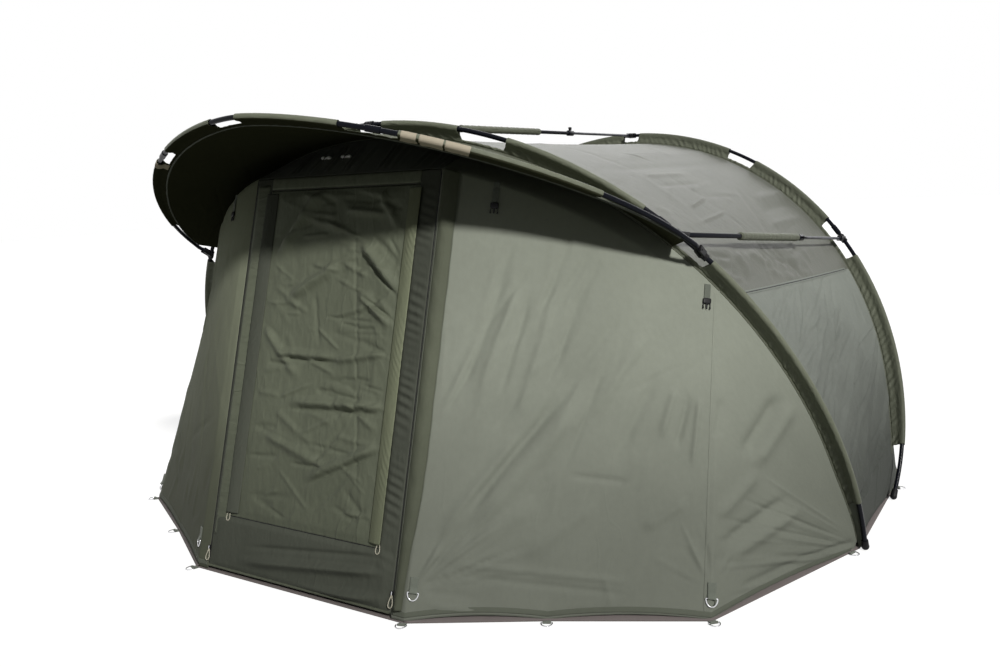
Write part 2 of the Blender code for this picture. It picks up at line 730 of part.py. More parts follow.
def tension_bar(bar):
    """A telescopic bar: outer tube with its collar, fabric wrap, inner tube and clamp knob."""
    along = unit(bar.rear - bar.front)
    length = float(np.linalg.norm(bar.rear - bar.front))
    frame = frame_at(bar.front, bar.axis, along)
    mouth = length * bar.outer_share
    collar = mouth - COLLAR_LENGTH
    bore = round_bore(INNER_TUBE_RADIUS)
    floor = TONGUE_LENGTH + BAR_PLUG
    shell = turned([(0.0, TONGUE_LENGTH), (TUBE_RADIUS, TONGUE_LENGTH), (TUBE_RADIUS, collar),
                    (COLLAR_RADIUS, collar), (COLLAR_RADIUS, mouth), (bore, mouth), (bore, floor),
                    (0.0, floor)], frame)
    front_tongue = tongue(frame_at(bar.front, along, bar.axis), TUBE_RADIUS, 0.0)
    screw = knob_frame(bar, mouth - COLLAR_LENGTH / 2)
    screw_hole = rod(round_bore(KNOB_SHAFT), 0.0, COLLAR_RADIUS * 2, screw)
    outer = boolean(boolean(shell, [front_tongue], "UNION"), [screw_hole], "DIFFERENCE")
    add(bar.name + "_outer_tube", outer, "pole")

    start, end = (length * share for share in bar.wrap_shares)
    inside = round_bore(TUBE_RADIUS)
    outside = inside + WRAP_THICKNESS
    wrap = turned([(inside, end), (outside, end), (outside, start), (inside, start)], frame)
    add(bar.name + "_wrap", wrap, "sleeve_fabric")

    rod_end = length - TONGUE_LENGTH
    inner = rod(INNER_TUBE_RADIUS, mouth - BAR_OVERLAP, rod_end, frame)
    rear_tongue = tongue(frame_at(bar.rear, -along, bar.axis), INNER_TUBE_RADIUS, PIN_PLAY)
    add(bar.name + "_inner_tube", boolean(inner, [rear_tongue], "UNION"), "pole")

    shaft = rod(KNOB_SHAFT, INNER_TUBE_RADIUS + GAP, COLLAR_RADIUS + KNOB_HEIGHT, screw)
    seat = COLLAR_RADIUS + GAP
    head = rod(KNOB_RADIUS, seat, seat + KNOB_HEIGHT, screw)
    lift = seat + KNOB_HEIGHT + KNOB_WING[2] / 2 - GAP
    wing = block(KNOB_WING, screw @ Matrix.Translation((0.0, 0.0, lift)))
    add(bar.name + "_knob", boolean(shaft, [head, wing], "UNION"), "moulding")


# Peak rib

def peak_rib():
    """The three sections of the peak rib, with tongues at its pivots, and its sleeve."""
    whole = whole_stations(0.0, math.pi, PEAK_STEPS, PEAK_SLEEVE_TURNS)
    first = PEAK_PIVOT + PEAK_AXIS * TONGUE_LENGTH
    second = PEAK_PIVOT + PEAK_AXIS * (TONGUE_LENGTH + TONGUE_ROOT + OVERRUN)
    for name, joint, mirror in (("right", PEAK_SOCKET_TURN, 1.0),
                                ("left", math.pi - PEAK_SOCKET_TURN_LEFT, -1.0)):
        side = np.array([mirror, 1.0, 1.0])
        own = whole if mirror > 0.0 else np.sort(math.pi - whole)
        end = straight_end(peak_points, joint, GAP, True)
        straight = straight_end(peak_points, end, SOCKET_DEPTH, True)
        rest = peak_points(np.concatenate([stations(PEAK_FIRST_TURN, straight, own), [end]]))
        body = tube_mesh(np.concatenate([[first, second], rest]) * side, TUBE_RADIUS)
        flat = tongue(frame_at(PEAK_PIVOT * side, PEAK_AXIS, (1.0, 0.0, 0.0)), TUBE_RADIUS, 0.0)
        add("peak_rib_" + name, boolean(body, [flat], "UNION"), "pole")
    crown("peak_rib_crown", peak_points, PEAK_SOCKET_TURN, PEAK_SOCKET_TURN_LEFT, whole)
    sleeve("peak_rib_sleeve", peak_points, peak_line, whole, PEAK_SLEEVE_TURNS)


# Fabric

def drawn_back(edge, beyond, distance):
    """Points of an edge moved this far towards the row beyond it."""
    return edge + unit(beyond - edge) * distance


def roof_grid(shares, rows):
    """The cover between the ribs: straight from rib to rib but for a slight sag."""
    front = fabric_line(FRONT, share_turn(FRONT, shares))
    rear = fabric_line(REAR, share_turn(REAR, shares))
    across_turn = np.linspace(0.0, 1.0, rows)[:, None, None]
    grid = front * (1.0 - across_turn) + rear * across_turn
    middle = (front + rear) / 2
    inward = unit(np.array([0.0, RIB_SPACING, 0.0]) + np.array([0.0, 0.0, FRONT_CENTRE]) - middle)
    grid = grid + inward * (ROOF_SAG * 4.0 * across_turn * (1.0 - across_turn))
    grid[..., 2] = np.maximum(grid[..., 2], HEM_HEIGHT)
    return grid


def cover_panels():
    """Roof, two sides and rear wall."""
    gap_share = PANEL_GAP / (math.pi * FRONT_HALF_WIDTH)
    low = ROOF_SHARE - gap_share / 2
    high = ROOF_SHARE + gap_share / 2
    sheet("roof_panel", roof_grid(np.linspace(high, 1.0 - high, 25), 4))
    side = roof_grid(np.linspace(0.0, low, 11), 4)
    sheet("side_panel_right", side)
    sheet("side_panel_left", mirrored(side))
    shares = np.linspace(FOOT_SHARE, 1.0 - FOOT_SHARE, 29)
    top = fabric_line(REAR, share_turn(REAR, shares))
    bottom = rear_hem(shares * math.pi)
    top = drawn_back(top, bottom, EDGE_SETBACK)
    down = np.linspace(0.0, 1.0, 4)[:, None, None]
    sheet("rear_wall", top * (1.0 - down) + bottom * down)


def rear_hem(turn):
    """The hem on the ground behind the rear feet."""
    foot = fabric_line(REAR, np.array(foot_turn(REAR)))
    x, depth = power_arc(turn, foot[0], REAR_HEM_DEPTH, REAR_HEM_POWER)
    return np.stack([x, RIB_SPACING + depth, np.full_like(x, HEM_HEIGHT)], axis=-1)


def ground_point(plan):
    """A corner of the ground plan at the hem's height."""
    return np.array([plan[0], plan[1], HEM_HEIGHT])


FRONT_FOOT_HEM = fabric_line(FRONT, np.array(foot_turn(FRONT)))
HEADER_CORNER = np.array([DOOR_HALF_WIDTH, DOOR_TOP_Y, DOOR_TOP])
DOOR_FOOT = ground_point((DOOR_HALF_WIDTH, DOOR_CORNER[1]))
DOOR_UP = unit(HEADER_CORNER - DOOR_FOOT)
DOOR_OUT = np.array([0.0, -DOOR_UP[2], DOOR_UP[1]])
EDGE_TURN = float(turn_at_x(FRONT, DOOR_HALF_WIDTH))


def front_column(share):
    """Hem point and rib turn of a straight line up the front wall: 0 at the seam, 1 at the door's edge."""
    corners = np.array([ground_point(SEAM_CORNER), ground_point(FRONT_PEG), ground_point(DOOR_CORNER), DOOR_FOOT])
    run = np.concatenate([[0.0], np.cumsum(np.linalg.norm(np.diff(corners, axis=0), axis=1))])
    hem = np.array([np.interp(share * run[-1], run, corners[:, axis]) for axis in range(3)])
    return hem, SEAM_TURN + share * (EDGE_TURN - SEAM_TURN)


def front_wall(share, height):
    """The front wall beside the door: straight lines from hem to rib that swell forward under the header."""
    hem, turn = front_column(share)
    rib = fabric_line(FRONT, np.array(turn))
    rib = rib + unit(hem - rib) * EDGE_SETBACK
    edge_rib = fabric_line(FRONT, np.array(EDGE_TURN))
    edge_rib = edge_rib + unit(DOOR_FOOT - edge_rib) * EDGE_SETBACK
    bulge = HEADER_CORNER - (DOOR_FOOT + (edge_rib - DOOR_FOOT) * WALL_BEND_SHARE)
    swell = min(height / WALL_BEND_SHARE, (1.0 - height) / (1.0 - WALL_BEND_SHARE))
    return hem + (rib - hem) * height + bulge * swell * smoothstep(share)


def front_panels():
    """The walls beside the door, each from the rib's foot round the pegged corner to the door's edge."""
    heights = np.concatenate([np.linspace(0.0, WALL_BEND_SHARE, 5), [1.0]])
    corner = ground_point(SEAM_CORNER)
    foot = ground_point(FRONT_FOOT_HEM)
    columns = []
    start_turn = foot_turn(FRONT)
    for share in np.linspace(CORNER_START_SHARE, 1.0, 7)[:-1]:
        hem = foot + (corner - foot) * share
        rib = fabric_line(FRONT, np.array(start_turn + share * (SEAM_TURN - start_turn)))
        rib = rib + unit(hem - rib) * EDGE_SETBACK
        columns.append([hem + (rib - hem) * height for height in heights])
    run_shares = (0.0, 0.12, 0.25, 0.37, 0.497, 0.62, 0.74, 0.85, 0.945, 1.0)
    for share in run_shares:
        columns.append([front_wall(share, height) for height in heights])
    for name, mirror in (("right", 1.0), ("left", -1.0)):
        grid = np.array(columns) * np.array([mirror, 1.0, 1.0])
        sewn = [tie_strap(wall_frame(*PEAK_STRAP_SHARES, mirror), -TAB_OVERLAP),
                strap_stub(wall_frame(*DOOR_STRAP_SHARES, mirror))]
        add("front_panel_" + name, boolean(thick_mesh(grid, FABRIC, -1.0), sewn, "UNION"), "fabric")


def door_point(x, height, out=0.0):
    """A point of the door's plane at a height over the ground, pushed out of it."""
    rise = (height - HEM_HEIGHT) / DOOR_UP[2]
    x, rise, out = np.broadcast_arrays(x, rise, out)
    base = np.array([0.0, DOOR_FOOT[1], HEM_HEIGHT])
    return base + x[..., None] * np.array([1.0, 0.0, 0.0]) + rise[..., None] * DOOR_UP + out[..., None] * DOOR_OUT


# Main folds of the hanging inner door: start and end as shares of its width and height, and depth share
DOOR_FOLD_SHARES = (
    (0.40, 0.97, 0.04, 0.62, 1.0),
    (0.62, 0.93, 0.22, 0.55, 0.8),
    (0.95, 0.90, 0.50, 0.70, 0.7),
    (0.92, 0.62, 0.45, 0.42, 0.6),
    (0.10, 0.50, 0.42, 0.22, 0.7),
    (0.30, 0.08, 0.85, 0.34, 0.8),
    (0.08, 0.10, 0.40, 0.05, 0.6),
)
SILL_FOLD_SHARES = (0.30, 0.62)


def fold_height(across_share, up_share):
    """Depth of the door's folds: a soft ridge along each fold line, level at the panel's edges."""
    total = np.zeros_like(across_share)
    for x0, z0, x1, z1, depth in DOOR_FOLD_SHARES:
        run = np.array([x1 - x0, z1 - z0])
        length = np.hypot(*run)
        along = ((across_share - x0) * run[0] + (up_share - z0) * run[1]) / length
        off = ((across_share - x0) * -run[1] + (up_share - z0) * run[0]) / length
        ends = smoothstep(along / length * 5.0) * smoothstep((1.0 - along / length) * 5.0)
        total = total + depth * ends * np.exp(-((off / 0.045) ** 2))
    rim = smoothstep(across_share * 8.0) * smoothstep((1.0 - across_share) * 8.0)
    rim = rim * smoothstep(up_share * 8.0) * smoothstep((1.0 - up_share) * 8.0)
    return DOOR_FOLD * np.minimum(total, 1.0) * rim


def door():
    """The zipped door with its sill and side bands, the inner panel in its opening, and the header over it."""
    half = DOOR_HALF_WIDTH - SEWN_GAP
    xs = np.concatenate([[-half], np.linspace(-INNER_HALF_WIDTH, INNER_HALF_WIDTH, 9), [half]])
    zs = np.concatenate([np.linspace(HEM_HEIGHT + DOOR_FOOT_GAP, INNER_BOTTOM, 7),
                         [INNER_TOP, DOOR_TOP - HEADER_EDGE_GAP]])
    x, z = np.meshgrid(xs, zs, indexing="ij")
    level = np.clip((z - zs[0]) / (INNER_BOTTOM - zs[0]), 0.0, 1.0)
    ridge = sum(np.exp(-(((level - share) / 0.12) ** 2)) for share in SILL_FOLD_SHARES)
    out = DOOR_FOLD * ridge * (np.abs(x) < INNER_HALF_WIDTH - WELD)
    keep = np.ones((len(xs) - 1, len(zs) - 1), dtype=bool)
    keep[1:-1, 6] = False
    sheet("door_panel", door_point(x, z, out), keep=keep)

    inner_half = INNER_HALF_WIDTH - PANEL_GAP
    xs = np.linspace(-inner_half, inner_half, 11)
    zs = np.linspace(INNER_BOTTOM + PANEL_GAP, INNER_TOP - SEWN_GAP, 17)
    x, z = np.meshgrid(xs, zs, indexing="ij")
    out = fold_height((x + inner_half) / (2.0 * inner_half), (z - zs[0]) / (zs[-1] - zs[0]))
    sheet("inner_door_panel", door_point(x, z, out))
    grid = header_grid(HEADER_GATHERS * HEADER_STEPS + 1, 3)
    add("door_header", boolean(thick_mesh(grid, FABRIC, -1.0), toggles(grid), "UNION"), "fabric")


def header_grid(columns, rows):
    """The gathered band over the door, from the door's top edge back up to the rib."""
    half = DOOR_HALF_WIDTH - SEWN_GAP
    xs = np.linspace(-half, half, columns)
    top = fabric_line(FRONT, turn_at_x(FRONT, xs))
    bottom = np.stack([xs, np.full_like(xs, DOOR_TOP_Y), np.full_like(xs, DOOR_TOP)], axis=-1)
    top = drawn_back(top, bottom, HEADER_SETBACK)
    wave = np.cos(np.linspace(0.0, 2.0 * math.pi * HEADER_GATHERS, columns))
    up = np.linspace(0.0, 1.0, rows)
    grid = bottom[:, None] * (1.0 - up)[None, :, None] + top[:, None] * up[None, :, None]
    out = unit(np.cross(top[0] - bottom[0], (1.0, 0.0, 0.0)))
    out = out * np.sign(np.dot(out, DOOR_OUT))
    fade = np.sin(math.pi * (0.15 + 0.7 * up)) * smoothstep(np.minimum(up, 1.0 - up) * 3.0)
    edge = smoothstep((half - np.abs(xs)) / (half / HEADER_GATHERS))
    return grid + out * (HEADER_GATHER * (wave * edge)[:, None, None] * fade[None, :, None])


def canopy():
    """The peak's cover, from the front rib forward to the peak rib."""
    shares = np.linspace(0.035, 0.965, 29)
    rear = fabric_line(FRONT, PEAK_TURN + shares * (math.pi - 2.0 * PEAK_TURN))
    front = peak_line(shares * math.pi)
    rear_edge = drawn_back(rear, front, CANOPY_SETBACK)
    front_edge = drawn_back(front, rear, SEWN_GAP)
    across_share = np.linspace(0.0, 1.0, 4)[:, None, None]
    sheet("peak_canopy", rear_edge * (1.0 - across_share) + front_edge * across_share)


def groundsheet():
    """The sheet that the tent stands on, a little wider than the hem, with its pegging tabs and rings."""
    right = [DOOR_CORNER, FRONT_PEG, SEAM_CORNER, FRONT_FOOT_HEM[:2]]
    rear = rear_hem(np.linspace(0.0, math.pi, 21))[:, :2]
    left = [(-x, y) for x, y in reversed(right)]
    outline = np.array([*right, *rear, *left], dtype=float)
    centre = outline.mean(axis=0)
    outline = outline + unit(outline - centre) * SHEET_MARGIN
    base = plate([outline.tolist()], SHEET_THICKNESS, Matrix.Translation((0.0, 0.0, SHEET_THICKNESS / 2)))
    pegs = []
    for place, outward in hem_places():
        for mirror in (1.0, -1.0):
            pegs.append(hem_tab(np.array([place[0] * mirror, place[1]]), np.array([outward[0] * mirror, outward[1]])))
    add("groundsheet", boolean(base, pegs, "UNION"), "groundsheet")


def hem_tab(place, outward):
    """A flat webbing tab that reaches out from under the hem, with a ring lying through its end."""
    outward = unit(np.array([outward[0], outward[1], 0.0]))
    end = np.array([place[0], place[1], 0.0]) + outward * HEM_TAB_LENGTH
    frame = frame_at(end, np.cross((0.0, 0.0, 1.0), -outward), -outward)
    length = HEM_TAB_LENGTH + HEM_TAB_ROOT
    middle = frame @ Matrix.Translation((0.0, HEM_TAB_LIFT + HEM_TAB_HEIGHT / 2, length / 2))
    tab = block((WEBBING_WIDTH, HEM_TAB_HEIGHT, length), middle)
    ring = tube_mesh(ring_points(frame, RING_WIRE + 2.0 * HEM_TAB_LIFT), RING_WIRE, 0, True)
    return boolean(tab, [ring], "UNION")


# Zips, storm flap and their sliders

def storm_flap():
    """The flap along the door's right zip, arched a little off the wall."""
    heights = np.linspace(FOOT_SHARE, WALL_BEND_SHARE, 9)
    run = front_run()
    columns = []
    for place in np.linspace(0.0, 1.0, 4):
        lift = FLAP_FOOT + FLAP_LIFT * 4.0 * place * (1.0 - place)
        column = []
        for height in heights:
            width = FLAP_WIDTH * (FLAP_NARROW_SHARE + (1.0 - FLAP_NARROW_SHARE) * smoothstep(height * 3.0))
            share = 1.0 - (FLAP_OFFSET + width * place) / run
            column.append(front_wall(share, height) + DOOR_OUT * lift)
        columns.append(column)
    sheet("storm_flap", np.array(columns), thickness=SLEEVE_FABRIC, offset=1.0)


def front_run():
    """Length of the hem from the seam to the door's edge."""
    corners = np.array([ground_point(SEAM_CORNER), ground_point(FRONT_PEG), ground_point(DOOR_CORNER), DOOR_FOOT])
    return float(np.linalg.norm(np.diff(corners, axis=0), axis=1).sum())


def pull_points(top, down, side):
    """A drop-shaped loop of cord hanging from a point."""
    angles = np.linspace(0.0, 2.0 * math.pi, PULL_POINTS, endpoint=False)
    drop = PULL_LENGTH / 2 * (1.0 - np.cos(angles))
    wide = PULL_WIDTH / 2 * np.sin(angles) * (1.0 - np.cos(angles)) / 1.3
    return top + drop[:, None] * down + wide[:, None] * side


def slider(name, centre, up, out, lift=PANEL_GAP):
    """A zip slider that runs along a zip, with its cord pull lying down the panel below it."""
    side = np.cross(out, up)
    middle = centre + out * (lift + SLIDER_SIZE[1] / 2)
    body = block(SLIDER_SIZE, frame_at(middle, side, up))
    loop = tube_mesh(pull_points(middle, -up, side), PULL_WIRE, 0, True)
    add(name, boolean(body, [loop], "UNION"), "moulding")


def sliders():
    """The sliders of the two door zips, the two inner zips and the two side vents."""
    for name, mirror in (("right", 1.0), ("left", -1.0)):
        slider("door_slider_" + name, door_point(mirror * DOOR_HALF_WIDTH, SLIDER_REST), DOOR_UP, DOOR_OUT)
        place = INNER_BOTTOM + SLIDER_SIZE[2] + INNER_SLIDER_REST_GAP
        slider("inner_slider_" + name, door_point(mirror * INNER_HALF_WIDTH, place), DOOR_UP, DOOR_OUT, 3.0 * GAP)
        point, along, up, out = vent_line(mirror)
        slider("vent_slider_" + name, point, unit(np.cross(out, along) * mirror), out, VENT_LIFT)


def vent_line(mirror):
    """Start, direction, upward and outward directions of a side vent's zip along the roof seam."""
    side = np.array([mirror, 1.0, 1.0])
    grid = roof_grid(np.array([ROOF_SHARE - 0.01, ROOF_SHARE, ROOF_SHARE + 0.01]), 21)
    row = round(VENT_START_SHARE * 20)
    along = unit(grid[row + 1, 1] - grid[row, 1])
    up = unit(grid[row, 2] - grid[row, 0])
    out = unit(np.cross(along, up))
    out = out * np.sign(np.dot(out, grid[row, 1] - np.array(INSIDE)))
    return grid[row, 1] * side, along * side, up * side, out * side


# Webbing, rings and straps

def tab_mesh(frame, length):
    """A webbing loop: up the wall from behind a ring's bar, and round it in front. Frame: Y out, Z up."""
    wrap = RING_WIRE + 2.0 * GAP + WEBBING / 2
    back = TAB_STANDOFF + WEBBING / 2
    centre = back + wrap
    angles = np.radians([180.0, 225.0, 270.0, 315.0, 360.0])
    section = [(back, length), (back, wrap)]
    section += [(centre + wrap * math.cos(a), wrap * math.sin(a)) for a in angles]
    section += [(back + 2.0 * WEBBING, 4.0 * wrap), (back + 2.0 * WEBBING, length)]
    rows = []
    for y, z in section:
        rows.append([frame @ Vector((x, y, z)) for x in (-WEBBING_WIDTH / 2, WEBBING_WIDTH / 2)])
    return thick_mesh(np.array(rows), WEBBING, 0.0)


def ring_points(frame, height):
    """A D-shaped ring with its straight bar in the webbing and its round side hanging down."""
    angles = np.linspace(0.0, -math.pi, RING_ARC_POINTS)
    half = RING_WIDTH / 2
    points = [(half * math.cos(a), height, RING_DROP * math.sin(a)) for a in angles]
    return np.array([frame @ Vector(point) for point in points])


def wall_frame(share, height, mirror):
    """A placement on the front wall: X across, Y out, Z up the wall."""
    here = front_wall(share, height)
    up = unit(front_wall(share, height + 0.01) - here)
    level = front_wall(max(share - 0.01, 0.0), height) - front_wall(min(share + 0.01, 1.0), height)
    out = unit(np.cross(level, up))
    side = np.array([mirror, 1.0, 1.0])
    out = out * side * np.sign(out[1]) * -1.0
    up = up * side
    return frame_at(here * side, np.cross(out, up), up)


def hem_places():
    """Pegging places round the hem on the right side, with the way that each faces."""
    rear = rear_hem(np.array([REAR_PEG_SHARE]) * math.pi)
    foot = FRONT_FOOT_HEM
    rear_foot = rear_hem(np.array([0.02]) * math.pi)[0]
    return (
        (DOOR_CORNER, (0.35, -1.0)),
        (FRONT_PEG, (0.5, -1.0)),
        (SEAM_CORNER, (1.0, -1.0)),
        ((foot[0] - FOOT_WEB, foot[1] - 4.0 * FOOT_RADIUS), (1.0, -0.35)),
        ((rear_foot[0], rear_foot[1] + 3.0 * FOOT_RADIUS), (1.0, 0.35)),
        (rear[0][:2], (1.0, 1.0)),
    )


def ring_height():
    """How far a ring's bar in its tab stands off the wall."""
    return TAB_STANDOFF + WEBBING + RING_WIRE + 2.0 * GAP


def wall_rings():
    """The upper tabs and the rings that swing in them."""
    for name, share in zip(("seam", "door"), RING_SHARES):
        for side, mirror in (("right", 1.0), ("left", -1.0)):
            frame = wall_frame(share, UPPER_TAB_SHARE, mirror)
            add(name + "_tab_" + side, tab_mesh(frame, TAB_LENGTH), "webbing")
            ring = tube_mesh(ring_points(frame, ring_height()), RING_WIRE, 1, True)
            add(name + "_ring_" + side, ring, "nickel")


def tie_strap(frame, standoff):
    """A short strap that hangs on the wall, with the male half of a side-release buckle on its end."""
    centre = frame @ Matrix.Translation((0.0, standoff + WEBBING / 2, -STRAP_LENGTH / 2))
    strap = block((STRAP_WIDTH, WEBBING, STRAP_LENGTH), centre)
    body_depth = BUCKLE_SIZE[2] - BUCKLE_PRONG
    lift = standoff + BUCKLE_SIZE[1] / 2
    top = OVERRUN - STRAP_LENGTH
    body = block((BUCKLE_SIZE[0], BUCKLE_SIZE[1], body_depth),
                 frame @ Matrix.Translation((0.0, lift, top - body_depth / 2)))
    prongs = [block((BUCKLE_SIZE[0] / 5, BUCKLE_SIZE[1] / 2, BUCKLE_PRONG + OVERRUN),
                    frame @ Matrix.Translation((x, lift, top - body_depth - BUCKLE_PRONG / 2)))
              for x in (-BUCKLE_SIZE[0] * 2 / 5, 0.0, BUCKLE_SIZE[0] * 2 / 5)]
    return boolean(strap, [body, *prongs], "UNION")


def strap_stub(frame):
    """The sewn top end of a hanging strap, set into the wall."""
    front = PANEL_GAP + WEBBING
    middle = frame @ Matrix.Translation((0.0, (front - OVERRUN) / 2, 3.0 * GAP + STRAP_STUB / 2))
    return block((STRAP_WIDTH, front + OVERRUN, STRAP_STUB), middle)


def door_straps():
    """The tie straps that hang beside the door's top."""
    for side, mirror in (("right", 1.0), ("left", -1.0)):
        strap = tie_strap(wall_frame(*DOOR_STRAP_SHARES, mirror), PANEL_GAP)
        add("door_strap_" + side, strap, "moulding")


def toggles(grid):
    """The toggles on the header that hold the rolled door."""
    made = []
    half = len(grid) // 2
    for share in TOGGLE_SHARES:
        column = grid[round(half * (1.0 + share))]
        up = unit(column[-1] - column[1])
        out = unit(np.cross(up, (1.0, 0.0, 0.0)))
        out = out * np.sign(np.dot(out, DOOR_OUT))
        place = column[1] + out * (TOGGLE_RADIUS / 2)
        made.append(rod(TOGGLE_RADIUS, -TOGGLE_LENGTH / 2, TOGGLE_LENGTH / 2,
                        frame_at(place, up, (1.0, 0.0, 0.0)), 8))
    return made


# Empties on the joints' axes

def hung(name, place, nodes, carrier=None):
    """An empty on a joint's axis, which carries the pieces that move about it or along it."""
    empty = bpy.data.objects.new(name, None)
    empty.empty_display_size = PIVOT_REACH
    PARTS.objects.link(empty)
    empty.location = Vector(place)
    bpy.context.view_layer.update()
    if carrier is not None:
        empty.parent = carrier
        empty.matrix_parent_inverse = carrier.matrix_world.inverted()
    for node in nodes:
        piece = bpy.data.objects[node]
        piece.parent = empty
        piece.matrix_parent_inverse = Matrix.Translation(-Vector(place))
    bpy.context.view_layer.update()
    return empty


def joint_empties():
    """One empty for each moving group, on the axis or pivot that it moves about."""
    rear_nodes = ["rear_rib_right_leg", "rear_rib_left_leg", "rear_rib_crown", "rear_rib_sleeve"]
    rear_nodes += [bar.name + "_rear_saddle" for bar in BARS]
    hung("rear_frame_axis", (0.0, RIB_SPACING, FOOT_RADIUS), rear_nodes)
    peak_nodes = ["peak_rib_right", "peak_rib_crown", "peak_rib_left", "peak_rib_sleeve"]
    hung("peak_frame_axis", (0.0, PEAK_PIVOT[1], PEAK_PIVOT[2]), peak_nodes)
    for bar in BARS:
        outer = hung(bar.name + "_axis", bar.front, [bar.name + "_outer_tube", bar.name + "_wrap"])
        hung(bar.name + "_slide", bar.front, [bar.name + "_inner_tube"], outer)
        length = float(np.linalg.norm(bar.rear - bar.front))
        screw = knob_frame(bar, length * bar.outer_share - COLLAR_LENGTH / 2)
        hung(bar.name + "_knob_axis", screw.translation, [bar.name + "_knob"], outer)
    back = -FABRIC / 2
    door_axis = hung("door_axis", door_point(0.0, DOOR_TOP - HEADER_EDGE_GAP, back), ["door_panel"])
    inner_axis = hung("inner_door_axis", door_point(0.0, INNER_TOP - SEWN_GAP, back), ["inner_door_panel"], door_axis)
    for side, mirror in (("right", 1.0), ("left", -1.0)):
        hung("door_zip_" + side, door_point(mirror * DOOR_HALF_WIDTH, SLIDER_REST), ["door_slider_" + side], door_axis)
        inner_rest = INNER_BOTTOM + SLIDER_SIZE[2] + INNER_SLIDER_REST_GAP
        hung("inner_zip_" + side, door_point(mirror * INNER_HALF_WIDTH, inner_rest), ["inner_slider_" + side],
             inner_axis)
        hung("vent_zip_" + side, vent_line(mirror)[0], ["vent_slider_" + side])
        for name, share in zip(("seam", "door"), RING_SHARES):
            frame = wall_frame(share, UPPER_TAB_SHARE, mirror)
            hung(name + "_ring_axis_" + side, frame @ Vector((0.0, ring_height(), 0.0)), [name + "_ring_" + side])
        frame = wall_frame(*DOOR_STRAP_SHARES, mirror)
        hung("door_strap_axis_" + side, frame @ Vector((0.0, PANEL_GAP + WEBBING / 2, 0.0)), ["door_strap_" + side])


PARTS, CUTTERS = clear_scene()
MATERIALS = make_finishes()
groundsheet()
rib("front", FRONT, front_curve, FRONT_SOCKET_TURN, FRONT_SLEEVE_TURNS, FRONT_CLAMP_TURNS)
rib("rear", REAR, rear_curve, REAR_SOCKET_TURN, REAR_SLEEVE_TURNS, REAR_CLAMP_TURNS)
saddles()
for tension in BARS:
    tension_bar(tension)
peak_rib()
cover_panels()
front_panels()
door()
canopy()
storm_flap()
sliders()
wall_rings()
door_straps()
joint_empties()
print("solids:", sum(obj.type != "EMPTY" for obj in PARTS.objects))
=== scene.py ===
# %% [markdown]
# # Dressing a bivvy tent
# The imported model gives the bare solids: pole ribs, tension bars, thick stand-in panels and fittings.
# This lesson puts cloth, zips, webbing and finishes over them, in the same metres and the same frame.

import math
from functools import partial

import bmesh
import bpy
import numpy as np
from mathutils import Matrix, Vector


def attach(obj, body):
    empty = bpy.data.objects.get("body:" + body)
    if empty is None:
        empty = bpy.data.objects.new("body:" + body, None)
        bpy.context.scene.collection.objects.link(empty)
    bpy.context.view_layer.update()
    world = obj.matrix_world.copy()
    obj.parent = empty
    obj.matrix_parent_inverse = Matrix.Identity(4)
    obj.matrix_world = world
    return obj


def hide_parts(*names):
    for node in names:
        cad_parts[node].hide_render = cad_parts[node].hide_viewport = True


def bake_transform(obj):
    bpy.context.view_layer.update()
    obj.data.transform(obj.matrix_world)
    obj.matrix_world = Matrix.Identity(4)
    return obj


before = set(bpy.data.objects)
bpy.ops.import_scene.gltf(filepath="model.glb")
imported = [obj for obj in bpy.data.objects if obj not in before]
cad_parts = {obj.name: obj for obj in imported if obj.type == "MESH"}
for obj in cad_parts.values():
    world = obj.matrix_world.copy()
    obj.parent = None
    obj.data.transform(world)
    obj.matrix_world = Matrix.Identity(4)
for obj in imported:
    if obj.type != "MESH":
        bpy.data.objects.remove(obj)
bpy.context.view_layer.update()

# %% [markdown]
# ## Camera
# The camera's place and turn were fitted to the ribs' outlines. The same numbers let a later step lay a
# crease where the photograph shows it.

# %% Camera
VIEW_FROM = np.array([2.2738, -3.2292, 1.2930])
VIEW_AHEAD = np.array([-0.55617, 0.81599, -0.15758])
VIEW_RIGHT = np.array([0.82980, 0.55573, -0.05098])
VIEW_UP = np.array([-0.04597, 0.15911, 0.98619])
PIXELS = (1000, 667)
FOCAL_PIXELS = 968.46
SENSOR_MM = 36.0


def new_object(name, data):
    """An object that holds some data, in the scene."""
    obj = bpy.data.objects.new(name, data)
    bpy.context.scene.collection.objects.link(obj)
    return obj


def make_camera():
    """A camera whose columns are right, up and backwards, and whose lens gives the fitted focal length."""
    data = bpy.data.cameras.new("camera")
    data.sensor_width = SENSOR_MM
    data.lens = SENSOR_MM * FOCAL_PIXELS / PIXELS[0]
    data.clip_start = 0.05
    data.clip_end = 60.0
    obj = new_object("camera", data)
    turn = Matrix([VIEW_RIGHT, VIEW_UP, -VIEW_AHEAD]).transposed().to_4x4()
    obj.matrix_world = Matrix.Translation(VIEW_FROM) @ turn
    bpy.context.scene.camera = obj
    print("lens mm:", round(data.lens, 2))


make_camera()

# %% [markdown]
# ## The curves that everything follows
# A rib is a super-ellipse in a leaning plane: its cosine and sine keep their signs and are raised to
# 2 / power. The cloth meets a rib on the same curve drawn in by the width of the sleeve's web.

